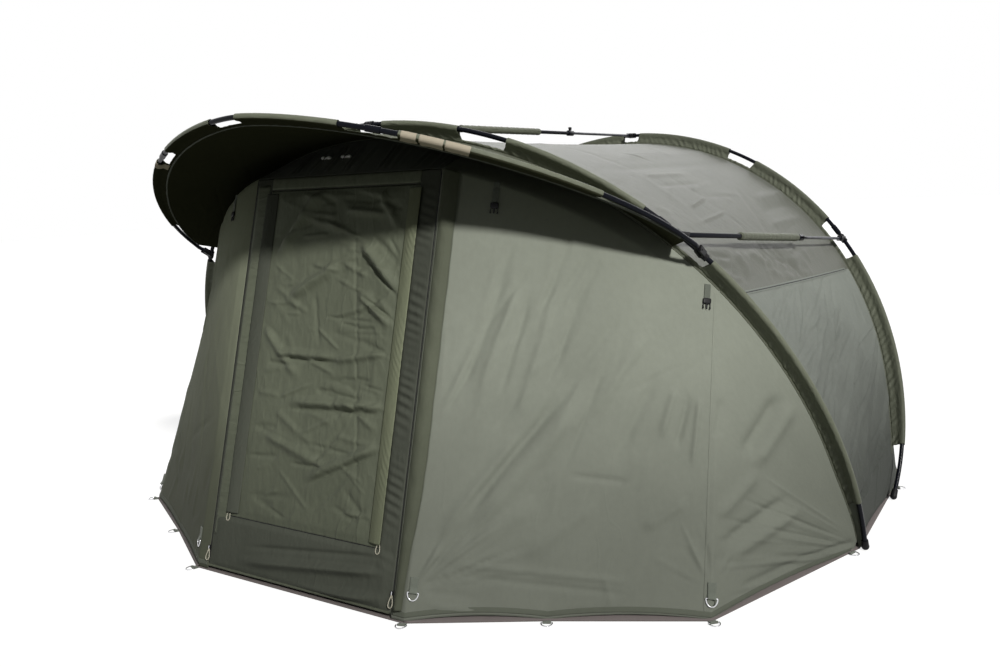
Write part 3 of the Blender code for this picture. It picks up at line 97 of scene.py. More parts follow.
# %% Ribs and panels as formulas
REAR_FOOT = 0.540
HEM = 0.0035
HEM_DEPTH = 1.310
HEM_POWER = 2.2
FRONT = dict(half=1.516, rise=1.575, centre=0.051, power=2.05, lean=math.radians(22.7), foot=0.0)
REAR = dict(half=1.496, rise=1.564, centre=0.157, power=1.90, lean=math.radians(-30.8), foot=REAR_FOOT)
PEAK_TURN = 0.736
PEAK_RISE = 0.898
PEAK_POWER = 1.643
PEAK_LIFT = math.radians(30.9)
PEAK_WEB = 0.045
WEB_AT_FOOT = 0.024
WEB = 0.050
WEB_FULL_HEIGHT = 0.350
SEAM_TURN = 0.660
ROOF_SHARE = 0.209
ROOF_SAG = 0.012
DOOR_HALF = 0.415
DOOR_TOP = 1.335
DOOR_TOP_Y = -0.775
INNER_HALF = 0.340
INNER_BOTTOM = 0.190
INNER_TOP = 1.290
WALL_BEND = 0.955
PIVOT_REACH = 0.036
EDGE_GAP = 0.0038
DOOR_GAP = 0.0016
INSIDE = np.array([0.0, 0.27, 0.525])
ACROSS = np.array([1.0, 0.0, 0.0])
UP = np.array([0.0, 0.0, 1.0])
FORWARD = np.array([0.0, -1.0, 0.0])
SIDES = (("right", np.array([1.0, 1.0, 1.0])), ("left", np.array([-1.0, 1.0, 1.0])))


def smoothstep(share):
    """Ease from 0 to 1 with level ends: 3 s squared less 2 s cubed."""
    share = np.clip(share, 0.0, 1.0)
    return share * share * (3.0 - 2.0 * share)


def unit(vector):
    """Vectors of length one, along the last axis."""
    vector = np.asarray(vector, dtype=float)
    return vector / np.maximum(np.linalg.norm(vector, axis=-1, keepdims=True), 1e-12)


def between(start, end, share):
    """Points at a share of the way from one place to another."""
    return start * (1.0 - share) + end * share


def hump(share):
    """A parabola that is 0 at both ends and 1 in the middle."""
    return 4.0 * share * (1.0 - share)


def pointing(vector, way):
    """A vector, turned round if it looks against a way."""
    return vector * np.sign(np.dot(vector, way))


def lattice(rows, columns):
    """Two values at every place of a grid."""
    return np.meshgrid(rows, columns, indexing="ij")


def run_along(path):
    """Distance from the start of a path at each of its points."""
    return np.concatenate([[0.0], np.cumsum(np.linalg.norm(np.diff(path, axis=0), axis=1))])


def at_run(distance, run, path):
    """Points of a path at given distances from its start."""
    return np.stack([np.interp(distance, run, column) for column in path.T], axis=-1)


def power_arc(turn, half, rise, power):
    """Super-ellipse: x and height at a turn."""
    cosine, sine = np.cos(turn), np.sin(turn)
    x = half * np.sign(cosine) * np.abs(cosine) ** (2.0 / power)
    return x, rise * np.sign(sine) * np.abs(sine) ** (2.0 / power)


def rib_points(rib, turn, inset=0.0):
    """A rib's centre line, or the same line drawn in by an inset, leaned about the line of its feet."""
    x, height = power_arc(turn, rib["half"] - inset, rib["rise"] - inset, rib["power"])
    height = height + rib["centre"]
    return np.stack([x, rib["foot"] - height * math.sin(rib["lean"]), height * math.cos(rib["lean"])], axis=-1)


def foot_turn(rib, height=0.0):
    """The turn at which the right leg reaches a height over the ground."""
    level = (height / math.cos(rib["lean"]) - rib["centre"]) / rib["rise"]
    return math.copysign(math.asin(abs(level) ** (rib["power"] / 2.0)), level)


def share_turn(rib, share):
    """The turn at a share of the way round, from the right foot to the left."""
    start = foot_turn(rib)
    return start + share * (math.pi - 2.0 * start)


def fabric_line(rib, turn):
    """Where the cloth meets a rib; the web between them narrows towards the feet."""
    height = rib_points(rib, turn)[..., 2]
    return rib_points(rib, turn, WEB_AT_FOOT + (WEB - WEB_AT_FOOT) * smoothstep(height / WEB_FULL_HEIGHT))


front_points, rear_points = partial(rib_points, FRONT), partial(rib_points, REAR)
front_line, rear_line = partial(fabric_line, FRONT), partial(fabric_line, REAR)
PEAK_ROOT = front_points(PEAK_TURN)
PEAK_AXIS = np.array([0.0, -math.cos(PEAK_LIFT), math.sin(PEAK_LIFT)])
PEAK_PIVOT = PEAK_ROOT + PIVOT_REACH * PEAK_AXIS


def peak_points(turn, inset=0.0):
    """The peak rib: an arch in a plane that rises forward from its two pivots."""
    x, reach = power_arc(turn, PEAK_PIVOT[0] - inset, PEAK_RISE - inset, PEAK_POWER)
    return np.stack([x, PEAK_PIVOT[1] + reach * PEAK_AXIS[1], PEAK_PIVOT[2] + reach * PEAK_AXIS[2]], axis=-1)


def peak_line(turn):
    """Where the canopy meets the peak rib's web."""
    ends = np.minimum(turn, math.pi - turn) / (math.pi * 0.25)
    return peak_points(turn, PEAK_WEB * (0.3 + 0.7 * smoothstep(ends)))


def roof_grid(shares, rows):
    """The cover between the ribs, straight from rib to rib but for a slight sag."""
    front = front_line(share_turn(FRONT, shares))
    rear = rear_line(share_turn(REAR, shares))
    across = np.linspace(0.0, 1.0, rows)[:, None, None]
    inward = unit(np.array([0.0, REAR_FOOT, FRONT["centre"]]) - (front + rear) / 2)
    grid = between(front, rear, across) + inward * (ROOF_SAG * hump(across))
    grid[..., 2] = np.maximum(grid[..., 2], HEM)
    return grid


def rear_hem(turn):
    """The hem on the ground behind the rear feet, a super-ellipse 1.31 m deep."""
    foot = rear_line(foot_turn(REAR))
    x, depth = power_arc(turn, foot[0], HEM_DEPTH, HEM_POWER)
    return np.stack([x, REAR_FOOT + depth, np.full_like(x, HEM)], axis=-1)


FRONT_FOOT_HEM = front_line(foot_turn(FRONT))
DOOR_CORNER = np.array([0.467, -1.167, HEM])
FRONT_PEG = np.array([0.839, -0.954, HEM])
SEAM_CORNER = np.array([1.260, -0.734, HEM])
DOOR_FOOT = np.array([DOOR_HALF, DOOR_CORNER[1], HEM])
HEADER_CORNER = np.array([DOOR_HALF, DOOR_TOP_Y, DOOR_TOP])
DOOR_UP = unit(HEADER_CORNER - DOOR_FOOT)
DOOR_OUT = np.array([0.0, -DOOR_UP[2], DOOR_UP[1]])
HEM_CORNERS = np.array([SEAM_CORNER, FRONT_PEG, DOOR_CORNER, DOOR_FOOT])
HEM_RUN = run_along(HEM_CORNERS)


def turn_at_x(rib, x):
    """The turn at which a rib's cloth line is this far to the side, high up where the web is full."""
    return np.arccos(np.sign(x) * np.abs(x / (rib["half"] - WEB)) ** (rib["power"] / 2.0))


EDGE_TURN = float(turn_at_x(FRONT, DOOR_HALF))


def short_of(edge, start):
    """An edge drawn back towards the piece's other end, which leaves room for the seam's bead."""
    return edge + unit(start - edge) * EDGE_GAP


def as_grid(share, height):
    """Shares and heights as arrays of one shape."""
    return np.broadcast_arrays(np.asarray(share, float), np.asarray(height, float))


def front_wall(share, height):
    """The front wall: share 0 is the seam, 1 the door's edge; it swells forward under the header."""
    share, height = as_grid(share, height)
    hem = at_run(share * HEM_RUN[-1], HEM_RUN, HEM_CORNERS)
    rib = short_of(front_line(SEAM_TURN + share * (EDGE_TURN - SEAM_TURN)), hem)
    edge = short_of(front_line(EDGE_TURN), DOOR_FOOT)
    bulge = HEADER_CORNER - (DOOR_FOOT + (edge - DOOR_FOOT) * WALL_BEND)
    swell = np.minimum(height / WALL_BEND, (1.0 - height) / (1.0 - WALL_BEND))
    return hem + (rib - hem) * height[..., None] + bulge * (swell * smoothstep(share))[..., None]


def corner_wall(share, height):
    """The wall from the rib's foot (share 0) round to the seam (share 1)."""
    share, height = as_grid(share, height)
    foot = np.array([FRONT_FOOT_HEM[0], FRONT_FOOT_HEM[1], HEM])
    hem = foot + (SEAM_CORNER - foot) * share[..., None]
    start = foot_turn(FRONT)
    rib = short_of(front_line(start + share * (SEAM_TURN - start)), hem)
    return hem + (rib - hem) * height[..., None]


def door_point(x, height, out=0.0):
    """A point of the door's plane at a height over the ground, pushed out of it."""
    x, rise, out = np.broadcast_arrays(x, (height - HEM) / DOOR_UP[2], out)
    base = np.array([0.0, DOOR_FOOT[1], HEM])
    return base + x[..., None] * ACROSS + rise[..., None] * DOOR_UP + out[..., None] * DOOR_OUT


print("crown heights:", [round(float(rib_points(rib, math.pi / 2)[2]), 3) for rib in (FRONT, REAR)])

# %% [markdown]
# ## Shared shader effects
# Cloth shows a faint unevenness of colour, fine creases from its bag, the weave, and a painted shade that darkens it
# towards the ground. Each is a node group with named inputs.

# %% Shader nodes
def feed(tree, node, inputs):
    """Give each named or numbered input its value, or a link from an output."""
    for key, value in inputs.items():
        if isinstance(value, bpy.types.NodeSocket):
            tree.links.new(value, node.inputs[key])
        else:
            node.inputs[key].default_value = value


def new_node(tree, kind, inputs=None, **settings):
    """A shader node with its settings and its inputs."""
    node = tree.nodes.new("ShaderNode" + kind)
    for key, value in settings.items():
        setattr(node, key, value)
    feed(tree, node, inputs or {})
    return node


def math_node(tree, operation, *values, clamp=False):
    """The output of a Math node; each value is a number or an output to link."""
    return new_node(tree, "Math", dict(enumerate(values)), operation=operation, use_clamp=clamp).outputs[0]


def times(tree, *values, clamp=False):
    """The product of two numbers or outputs."""
    return math_node(tree, "MULTIPLY", *values, clamp=clamp)


def noise_node(tree, vector, scale, detail=3.0, rough=0.55):
    """A 3D noise that reads a vector; scale is a number or an output."""
    inputs = {"Vector": vector, "Scale": scale, "Detail": detail, "Roughness": rough}
    return new_node(tree, "TexNoise", inputs).outputs["Fac"]


def away_from_half(tree, value):
    """How far a noise is from its middle, on either side."""
    return math_node(tree, "ABSOLUTE", math_node(tree, "SUBTRACT", value, 0.5))


def weave(tree, given):
    """Plain weave: two sine waves across the cloth's UV, in metres, multiplied into a small chequer of threads."""
    split = new_node(tree, "SeparateXYZ", {0: given["Vector"]})
    waves = []
    for axis in ("X", "Y"):
        run = times(tree, split.outputs[axis], given["Threads per Metre"])
        waves.append(math_node(tree, "SINE", times(tree, run, math.pi)))
    return times(tree, *waves)


def creases(tree, given):
    """Packing creases: a stretched noise leaves a soft line where it crosses its middle; Crumple adds ridged noise."""
    inputs = {"Vector": given["Vector"], "Scale": (1.0, 0.45, 1.0), "Rotation": (0.0, 0.0, 0.6)}
    warp = new_node(tree, "Mapping", inputs).outputs[0]
    off = away_from_half(tree, noise_node(tree, warp, given["Scale"], 2.5))
    line = math_node(tree, "SUBTRACT", 1.0, math_node(tree, "DIVIDE", off, given["Width"]), clamp=True)
    fade = math_node(tree, "SUBTRACT", noise_node(tree, given["Vector"], 3.0, 1.0), 0.42)
    fade = times(tree, fade, 5.0, clamp=True)
    thin = times(tree, times(tree, line, fade), 0.35)
    ridge = away_from_half(tree, noise_node(tree, warp, times(tree, given["Scale"], 1.7), 3.0, 0.6))
    ridge = times(tree, times(tree, ridge, -4.0), given["Crumple"])
    return math_node(tree, "ADD", thin, ridge)


def mottle(tree, given):
    """Uneven dye and handling: two noises added, centred on zero."""
    broad = noise_node(tree, given["Vector"], given["Scale"], 4.0)
    fine = noise_node(tree, given["Vector"], times(tree, given["Scale"], 24.0), 2.0)
    both = math_node(tree, "ADD", broad, times(tree, fine, 0.35))
    return times(tree, math_node(tree, "SUBTRACT", both, 0.675), given["Amount"])


def painted_ground_shade(tree, given):
    """Painted shade towards the ground: 1 above the high mark, down to the share of light left at the ground, with a
    wavering edge.
    """
    height = new_node(tree, "SeparateXYZ", {0: given["Vector"]}).outputs["Z"]
    waver = math_node(tree, "MULTIPLY_ADD", noise_node(tree, given["Vector"], 3.0), 0.3, -0.15)
    level = math_node(tree, "DIVIDE", math_node(tree, "ADD", height, waver), given["High"])
    inputs = {"Value": level, "To Min": given["Light at Ground"]}
    return new_node(tree, "MapRange", inputs, interpolation_type="SMOOTHSTEP").outputs[0]


def new_group(name, inputs, output, recipe):
    """A shader group with float inputs (a name and a default each), a vector input and one output."""
    tree = bpy.data.node_groups.new(name, "ShaderNodeTree")
    tree.interface.new_socket("Vector", in_out="INPUT", socket_type="NodeSocketVector")
    for label, value in inputs.items():
        tree.interface.new_socket(label, in_out="INPUT", socket_type="NodeSocketFloat").default_value = value
    tree.interface.new_socket(output, in_out="OUTPUT", socket_type="NodeSocketFloat")
    start = tree.nodes.new("NodeGroupInput")
    end = tree.nodes.new("NodeGroupOutput")
    tree.links.new(recipe(tree, start.outputs), end.inputs[0])
    return tree


GROUPS = {
    "weave": new_group("weave", {"Threads per Metre": 900.0}, "Height", weave),
    "creases": new_group("packing_creases", {"Scale": 6.0, "Width": 0.03, "Crumple": 1.0}, "Height", creases),
    "mottle": new_group("mottle", {"Scale": 4.0, "Amount": 1.0}, "Value", mottle),
    # painted shade: cloth darkens towards the ground
    "painted_ground_shade": new_group("ground_shade_group", {"High": 0.8, "Light at Ground": 0.55}, "Value", painted_ground_shade),
}
print("node groups:", sorted(GROUPS))


# %% Material helpers
def placed(tree, group, vector, values):
    """A group's output in a material, fed with a vector and its own values."""
    return new_node(tree, "Group", {"Vector": vector, **values}, node_tree=GROUPS[group]).outputs[0]


def coordinates(tree, kind):
    """One kind of texture coordinate."""
    return new_node(tree, "TexCoord").outputs[kind]


def start_material(name, roughness, metallic=0.0, sheen=0.0, specular=0.5):
    """A material with its Principled shader's constant numbers set on the shader's own sockets."""
    material = bpy.data.materials.new(name)
    material.use_nodes = True
    tree = material.node_tree
    shader = tree.nodes["Principled BSDF"]
    feed(tree, shader, {"Roughness": roughness, "Metallic": metallic, "Sheen Weight": sheen,
                        "Sheen Roughness": 0.45, "Specular IOR Level": specular})
    return material, tree, shader


def tinted(colour, factor):
    """A colour made lighter or darker."""
    return tuple(min(1.0, c * factor) for c in colour)


def mixed(tree, share, low, high):
    """A colour that runs from low to high."""
    return new_node(tree, "Mix", {6: (*low, 1.0), 7: (*high, 1.0), 0: share}, data_type="RGBA").outputs[2]


def colour_by(tree, value, colour, spread, shader, shade=None):
    """Base Color varies by a spread round a colour as a value crosses zero, times a shade if there is one."""
    share = new_node(tree, "MapRange", {"From Min": -0.3, "From Max": 0.3, "Value": value}).outputs[0]
    base = mixed(tree, share, tinted(colour, 1.0 - spread), tinted(colour, 1.0 + spread))
    if shade is not None:
        base = new_node(tree, "VectorMath", {0: base, "Scale": shade}, operation="SCALE").outputs[0]
    tree.links.new(base, shader.inputs["Base Color"])


def bump_by(tree, height, shader):
    """A Bump node that turns a height in metres into the shader's normal."""
    bump = new_node(tree, "Bump", {"Distance": 1.0, "Strength": 1.0, "Height": height})
    tree.links.new(bump.outputs[0], shader.inputs["Normal"])


# %% [markdown]
# ## Cloth, coatings, metal and plastic
# The shelter is polyester in olive green, lighter on the walls, darker on the sleeves and painted black under the peak
# as shade.
# Poles are lacquered aluminium, fittings black nylon, rings nickel plate.

# %% Materials
WEAVE_DEPTH = 0.00006
WEBBING_DEPTH = 0.0002
METAL_GRAIN = 0.00004


def cloth_material(name, colour, roughness=0.78, sheen=0.02, crease=0.0006, scale=7.0, threads=900.0, crumple=0.5,
                   ground_shade_fade=(0.8, 0.62), specular=0.08):
    """Woven cloth: mottled colour darkened towards the ground by painted shade, packing creases and a weave in the
    bump; all but the shade on its UV map in metres.
    """
    material, tree, shader = start_material(name, roughness, sheen=sheen, specular=specular)
    uv = coordinates(tree, "UV")
    value = placed(tree, "mottle", uv, {"Scale": 2.2, "Amount": 1.0})
    # painted shade: the colour darkens towards the ground, by height in Object coordinates
    ground_shade_factor = placed(tree, "painted_ground_shade", coordinates(tree, "Object"), {"High": ground_shade_fade[0], "Light at Ground": ground_shade_fade[1]})
    colour_by(tree, value, colour, 0.10, shader, ground_shade_factor)
    threads = placed(tree, "weave", uv, {"Threads per Metre": threads})
    line = placed(tree, "creases", uv, {"Scale": scale, "Width": 0.022, "Crumple": crumple})
    fine = times(tree, threads, WEAVE_DEPTH)
    bump_by(tree, math_node(tree, "ADD", fine, times(tree, line, crease)), shader)
    return material


def hard_material(name, colour, roughness, metallic=0.0, spread=0.12, specular=0.3):
    """Metal or moulding on Object coordinates: faint handling marks in colour and roughness, and a fine grain."""
    material, tree, shader = start_material(name, roughness, metallic, specular=specular)
    place = coordinates(tree, "Object")
    value = placed(tree, "mottle", place, {"Scale": 40.0, "Amount": 1.0})
    colour_by(tree, value, colour, spread, shader)
    rough = math_node(tree, "MULTIPLY_ADD", value, 0.25, roughness, clamp=True)
    tree.links.new(rough, shader.inputs["Roughness"])
    bump_by(tree, times(tree, noise_node(tree, place, 900.0), METAL_GRAIN), shader)
    return material


def webbing_material(name, colour):
    """Woven tape: ribs across the tape every 1.6 mm, from its UV map in metres."""
    material, tree, shader = start_material(name, 0.8, sheen=0.15, specular=0.3)
    uv = coordinates(tree, "UV")
    colour_by(tree, placed(tree, "mottle", uv, {"Scale": 30.0, "Amount": 1.0}), colour, 0.2, shader)
    threads = placed(tree, "weave", uv, {"Threads per Metre": 620.0})
    bump_by(tree, times(tree, threads, WEBBING_DEPTH), shader)
    return material


WALL = (0.287, 0.308, 0.260)
# painted shade: the left wall's colour is a darker, greener copy of the wall's
SHADED_WALL = (0.262, 0.284, 0.205)
ROOF = (0.136, 0.142, 0.123)
SIDE = (0.248, 0.268, 0.244)
DOOR = (0.136, 0.151, 0.108)
SLEEVE = (0.120, 0.130, 0.096)
FLAP = (0.118, 0.129, 0.094)
FLY_STRIP = (0.205, 0.224, 0.150)
SILL = (0.080, 0.087, 0.070)
# Each cloth is darkened towards the ground by painted shade: the height where it starts and the share of light left at
# the ground.
MATERIALS = {
    "wall": cloth_material("wall_cloth", WALL, crease=0.0010, ground_shade_fade=(1.0, 0.54)),
    # painted shade: the left wall's darker copy of the wall cloth, darkened more towards the ground
    "wall_shaded": cloth_material("wall_shaded_cloth", SHADED_WALL, crease=0.0010, ground_shade_fade=(1.1, 0.30)),
    "roof": cloth_material("roof_cloth", ROOF, 0.5, crease=0.0010, scale=9.0, crumple=0.8, specular=0.2),
    "side": cloth_material("side_cloth", SIDE, crease=0.0012, crumple=0.8, ground_shade_fade=(1.0, 0.24)),
    "door": cloth_material("door_cloth", DOOR, 0.6, crease=0.0036, scale=6.0, crumple=1.0, specular=0.15),
    "flap": cloth_material("flap_cloth", FLAP, crease=0.0012, scale=12.0, crumple=1.0),
    "fly_strip": cloth_material("fly_strip_cloth", FLY_STRIP, crease=0.0012, scale=12.0, crumple=1.0),
    "sill": cloth_material("sill_cloth", SILL, crease=0.0020, crumple=1.0, ground_shade_fade=(0.3, 0.8)),
    # painted light: the front and peak sleeves take a copy of the sleeve colour 1.35 times lighter
    "sleeve_painted_light": cloth_material("front_sleeve_cloth", tinted(SLEEVE, 1.35), 0.5, 0.0, 0.0030, 9.0, crumple=1.0,
                                   specular=0.15),
    "sleeve": cloth_material("sleeve_cloth", SLEEVE, 0.5, 0.0, 0.0020, 12.0, crumple=1.0, specular=0.15),
    "canopy": cloth_material("canopy_cloth", SLEEVE),
    # painted shade: black for the canopy's underside and for the peak sleeve's faces that look down
    "black_painted_shade": cloth_material("black_painted_shade", (0.050, 0.052, 0.032), specular=0.0, sheen=0.0),
    "header": cloth_material("header_cloth", (0.160, 0.172, 0.150), scale=12.0),
    "lining": cloth_material("lining_cloth", (0.10, 0.105, 0.078)),
    "sheet": cloth_material("groundsheet_cloth", (0.245, 0.215, 0.210), roughness=0.55, sheen=0.0, threads=500.0),
    "tape": cloth_material("zip_tape", (0.045, 0.050, 0.036), crease=0.0002, scale=30.0),
    "patch": cloth_material("pale_patch", (0.47, 0.42, 0.33), crease=0.0003, threads=1400.0, scale=25.0),
    "binding": cloth_material("edge_binding", (0.16, 0.175, 0.14), crease=0.0001, scale=25.0),
    "webbing": webbing_material("webbing", (0.135, 0.150, 0.125)),
    "cord": webbing_material("pull_cord", (0.44, 0.42, 0.34)),
    "black_cord": webbing_material("black_cord", (0.012, 0.012, 0.012)),
    "pole": hard_material("pole_lacquer", (0.005, 0.006, 0.010), 0.22, specular=0.07),
    "grey_tube": hard_material("bar_lacquer", (0.026, 0.028, 0.038), 0.34, specular=0.12),
    "moulding": hard_material("black_nylon", (0.009, 0.009, 0.010), 0.42, specular=0.12),
    # the toggles' nylon is near white: partly its own pale colour, partly a painted highlight
    "nylon_and_painted_highlight": hard_material("pale_nylon_and_painted_highlight", (0.80, 0.80, 0.80), 0.25, specular=0.6),
    "nickel": hard_material("nickel_plate", (0.66, 0.66, 0.68), 0.16, metallic=1.0, spread=0.05, specular=0.5),
}
print("materials:", len(MATERIALS))

# %% [markdown]
# ## Making surfaces
# Every new piece is a grid of points worked out as whole arrays. Cloth gets its thickness from a Solidify
# modifier, whose inner skin may carry another material.

# %% Mesh helpers
CLOTH = 0.0008
COVER_BEND = ("front_frame", "rear_frame", (0.0, 0.0, 0.0), (0.0, 0.714, 0.30))
REAR_BEND = ("rear_frame", "front_frame", (0.0, REAR_FOOT, 0.0), (0.0, 1.012, -0.280))
FRONT_DOWN = np.array([0.0, -math.cos(FRONT["lean"]), -math.sin(FRONT["lean"])])
PEAK_BEND = ("front_frame", "peak_frame", tuple(PEAK_PIVOT), tuple(PEAK_PIVOT + 0.34 * FRONT_DOWN))


def lengths(grid, axis):
    """Distance run along one axis of a grid, averaged over the other, starting from 0."""
    steps = np.linalg.norm(np.diff(grid, axis=axis), axis=-1).mean(axis=1 - axis)
    return np.concatenate([[0.0], np.cumsum(steps)])


def grid_faces(rows, columns, closed_rows=False, closed_columns=False):
    """Quads of a grid, with either direction closed on itself."""
    index = np.arange(rows * columns).reshape(rows, columns)
    if closed_rows:
        index = np.vstack([index, index[:1]])
    if closed_columns:
        index = np.hstack([index, index[:, :1]])
    return np.stack([index[:-1, :-1], index[:-1, 1:], index[1:, 1:], index[1:, :-1]], axis=-1)


def mesh_from(name, points, faces, uv=None):
    """A mesh from arrays of points, quads (a triangle repeats its last corner) and UV per point."""
    data = bpy.data.meshes.new(name)
    data.vertices.add(len(points))
    data.vertices.foreach_set("co", np.asarray(points, dtype=np.float32).ravel())
    data.loops.add(faces.size)
    data.loops.foreach_set("vertex_index", faces.astype(np.int32).ravel())
    data.polygons.add(len(faces))
    data.polygons.foreach_set("loop_start", np.arange(0, faces.size, faces.shape[1], dtype=np.int32))
    data.polygons.foreach_set("use_smooth", np.ones(len(faces), dtype=bool))
    if uv is not None:
        layer = data.uv_layers.new(name="UVMap")
        layer.data.foreach_set("uv", np.asarray(uv, dtype=np.float32)[faces.ravel()].ravel())
    data.update()
    data.validate()
    return data


def faced(points, faces, away_from):
    """Faces turned so that, on the whole, they look away from a point."""
    corners = points[faces]
    facing = np.cross(corners[:, 2] - corners[:, 0], corners[:, 3] - corners[:, 1])
    outward = corners.mean(axis=1) - np.asarray(away_from)
    return faces[:, ::-1] if (facing * outward).sum() < 0.0 else faces


def place(name, data, material, body, node=None, slot=None):
    """An object at the origin that rides on a body, or on none when body is not a name, and may stand in for a solid.
    """
    obj = new_object(name, data)
    data.materials.append(MATERIALS[material])
    if isinstance(body, str):
        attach(obj, body)
    else:
        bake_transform(obj)
    if node:
        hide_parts(node)
    return obj


def thicken(obj, thickness, offset=-1.0):
    """Give a sheet its thickness, inwards of its faces unless the offset says otherwise."""
    wall = obj.modifiers.new("thickness", "SOLIDIFY")
    wall.thickness = thickness
    wall.offset = offset
    return wall


def surface(name, grid, material, body, node=None, keep=None, thickness=CLOTH, inner=None, away_from=INSIDE, uv=None):
    """A piece from a grid of points; keep masks its quads, inner names the inner skin's material."""
    rows, columns = grid.shape[:2]
    if uv is None:
        uv = np.stack(lattice(lengths(grid, 0), lengths(grid, 1)), axis=-1)
    faces = grid_faces(rows, columns)
    faces = faces[keep] if keep is not None else faces.reshape(-1, 4)
    used = np.unique(faces)
    renumber = np.zeros(rows * columns, dtype=int)
    renumber[used] = np.arange(len(used))
    points = grid.reshape(-1, 3)[used]
    faces = faced(points, renumber[faces], away_from)
    obj = place(name, mesh_from(name, points, faces, uv.reshape(-1, 2)[used]), material, body, node)
    wall = thicken(obj, thickness)
    if inner:
        obj.data.materials.append(MATERIALS[inner])
        wall.material_offset = 1
    return obj


def cloth(name, grid, material, body, node, held, rests_on, keep=None, inner="lining", **shape):
    """A cloth piece made by surface(), lined inside unless inner names another material. The area
    is that of the grid's quads, held between 0.301 of the flat piece and the whole of it.
    """
    obj = surface(name, grid, material, body, node, keep, inner=inner, **shape)
    return obj


def outward_of(grid):
    """Unit normals of a grid of points, on whichever side its rows and columns give."""
    return unit(np.cross(np.gradient(grid, axis=0), np.gradient(grid, axis=1)))


def normals(grid):
    """Unit normals of a grid of points, pointing out of the tent."""
    n = outward_of(grid)
    sign = np.sign(((grid - INSIDE) * n).sum(axis=-1, keepdims=True))
    return n * np.where(sign == 0.0, 1.0, sign)


def on_photo(points):
    """Pixel places of points in the photograph: right and up over ahead, times the focal length."""
    ray = points - VIEW_FROM
    ahead = ray @ VIEW_AHEAD
    across = PIXELS[0] / 2 + FOCAL_PIXELS * (ray @ VIEW_RIGHT) / ahead
    down = PIXELS[1] / 2 - FOCAL_PIXELS * (ray @ VIEW_UP) / ahead
    return np.stack([across, down], axis=-1)


def ridges(places, table):
    """Height from a table of folds (start, end, width, depth): a soft ridge along each line, fading at its ends.

    The height is depth times exp(-(distance / width) squared); a negative depth makes a valley.
    """
    total = np.zeros(places.shape[:-1])
    for x0, y0, x1, y1, width, depth in table:
        run = np.array([x1 - x0, y1 - y0], dtype=float)
        length = np.hypot(*run)
        along = ((places[..., 0] - x0) * run[0] + (places[..., 1] - y0) * run[1]) / length ** 2
        off = ((places[..., 0] - x0) * -run[1] + (places[..., 1] - y0) * run[0]) / length
        total += depth * smoothstep(along * 4.0) * smoothstep((1.0 - along) * 4.0) * np.exp(-((off / width) ** 2))
    return total


def fan_ridges(seed, count, apex, angle, near, far, width, depth):
    """A table of folds that run out from one place, as cloth does from a peg; pairs are the least and most."""
    rng = np.random.default_rng(seed)
    turn = np.radians(rng.uniform(*angle, count))
    step = np.stack([np.cos(turn), np.sin(turn)], axis=-1)
    start = np.array(apex) + step * rng.uniform(*near, count)[:, None]
    end = np.array(apex) + step * rng.uniform(*far, count)[:, None]
    deep = rng.uniform(*depth, count) * rng.choice([-1.0, 1.0], count)
    return np.column_stack([start, end, rng.uniform(*width, count), deep]).tolist()


def random_ridges(seed, count, low, high, angle, length, width, depth):
    """A table of small folds strewn over a box of the plane, near one angle, for ridges()."""
    rng = np.random.default_rng(seed)
    centre = rng.uniform(low, high, (count, 2))
    turn = np.radians(rng.normal(*angle, count))
    half = rng.uniform(*length, count) / 2
    step = np.stack([np.cos(turn), np.sin(turn)], axis=-1) * half[:, None]
    size = rng.uniform(*width, count)
    deep = rng.uniform(*depth, count) * rng.choice([-1.0, 1.0], count)
    return np.column_stack([centre - step, centre + step, size, deep]).tolist()


def report(what):
    """Say how many meshes show by now."""
    shown = [obj for obj in bpy.context.scene.objects if obj.type == "MESH" and not obj.hide_render]
    print(what, "made; meshes that show by now:", len(shown))


print("surface helpers ready")

# %% [markdown]
# ## Tubes and turned parts
# A circle is carried along a path, or a profile turned round an axis.

# %% Sweeps
def circle(sides):
    """Cosines and sines of evenly spaced turns."""
    angles = np.linspace(0.0, 2.0 * math.pi, sides, endpoint=False)
    return np.stack([np.cos(angles), np.sin(angles)], axis=-1)


def fix_shell(data):
    """Merge doubled corners at the poles and caps, then turn the closed shell's faces outwards."""
    shape = bmesh.new()
    shape.from_mesh(data)
    bmesh.ops.remove_doubles(shape, verts=shape.verts, dist=1e-6)
    bmesh.ops.recalc_face_normals(shape, faces=shape.faces)
    shape.to_mesh(data)
    shape.free()
    data.polygons.foreach_set("use_smooth", np.ones(len(data.polygons), dtype=bool))
    data.update()
    return data


def sweep(name, path, radius, material, body, sides=20, closed=False, up=None, section=None, **role):
    """A circle (or another section of (across, out) pairs) carried along a path; radius may vary along it."""
    path = np.asarray(path, dtype=float)
    radius = np.broadcast_to(np.asarray(radius, dtype=float), len(path))
    if closed:
        along = unit(np.roll(path, -1, axis=0) - np.roll(path, 1, axis=0))
    else:
        along = unit(np.gradient(path, axis=0))
    if up is None:
        up = np.linalg.svd(path - path.mean(axis=0), full_matrices=False)[2][-1]
    side = unit(np.cross(np.broadcast_to(np.asarray(up, dtype=float), along.shape), along))
    out = np.cross(along, side)
    section = circle(sides) if section is None else np.asarray(section, dtype=float)
    ring = side[:, None] * section[None, :, :1] + out[:, None] * section[None, :, 1:]
    grid = path[:, None] + ring * radius[:, None, None]
    count = len(section)
    faces = grid_faces(len(path), count, closed, True).reshape(-1, 4)
    points = grid.reshape(-1, 3)
    around = np.arange(count) / count * 2.0 * math.pi * float(radius.max())
    uv = np.stack(lattice(run_along(path), around), axis=-1).reshape(-1, 2)
    if not closed:
        low = np.arange(count)
        high = low + (len(path) - 1) * count
        points = np.vstack([points, path[0], path[-1]])
        uv = np.vstack([uv, uv[:1], uv[-1:]])
        first, last = (np.full(count, len(points) - back) for back in (2, 1))
        faces = np.vstack([faces, np.stack([first, first, np.roll(low, -1), low], axis=-1),
                           np.stack([last, last, high, np.roll(high, -1)], axis=-1)])
    return place(name, fix_shell(mesh_from(name, points, faces, uv)), material, body, **role)


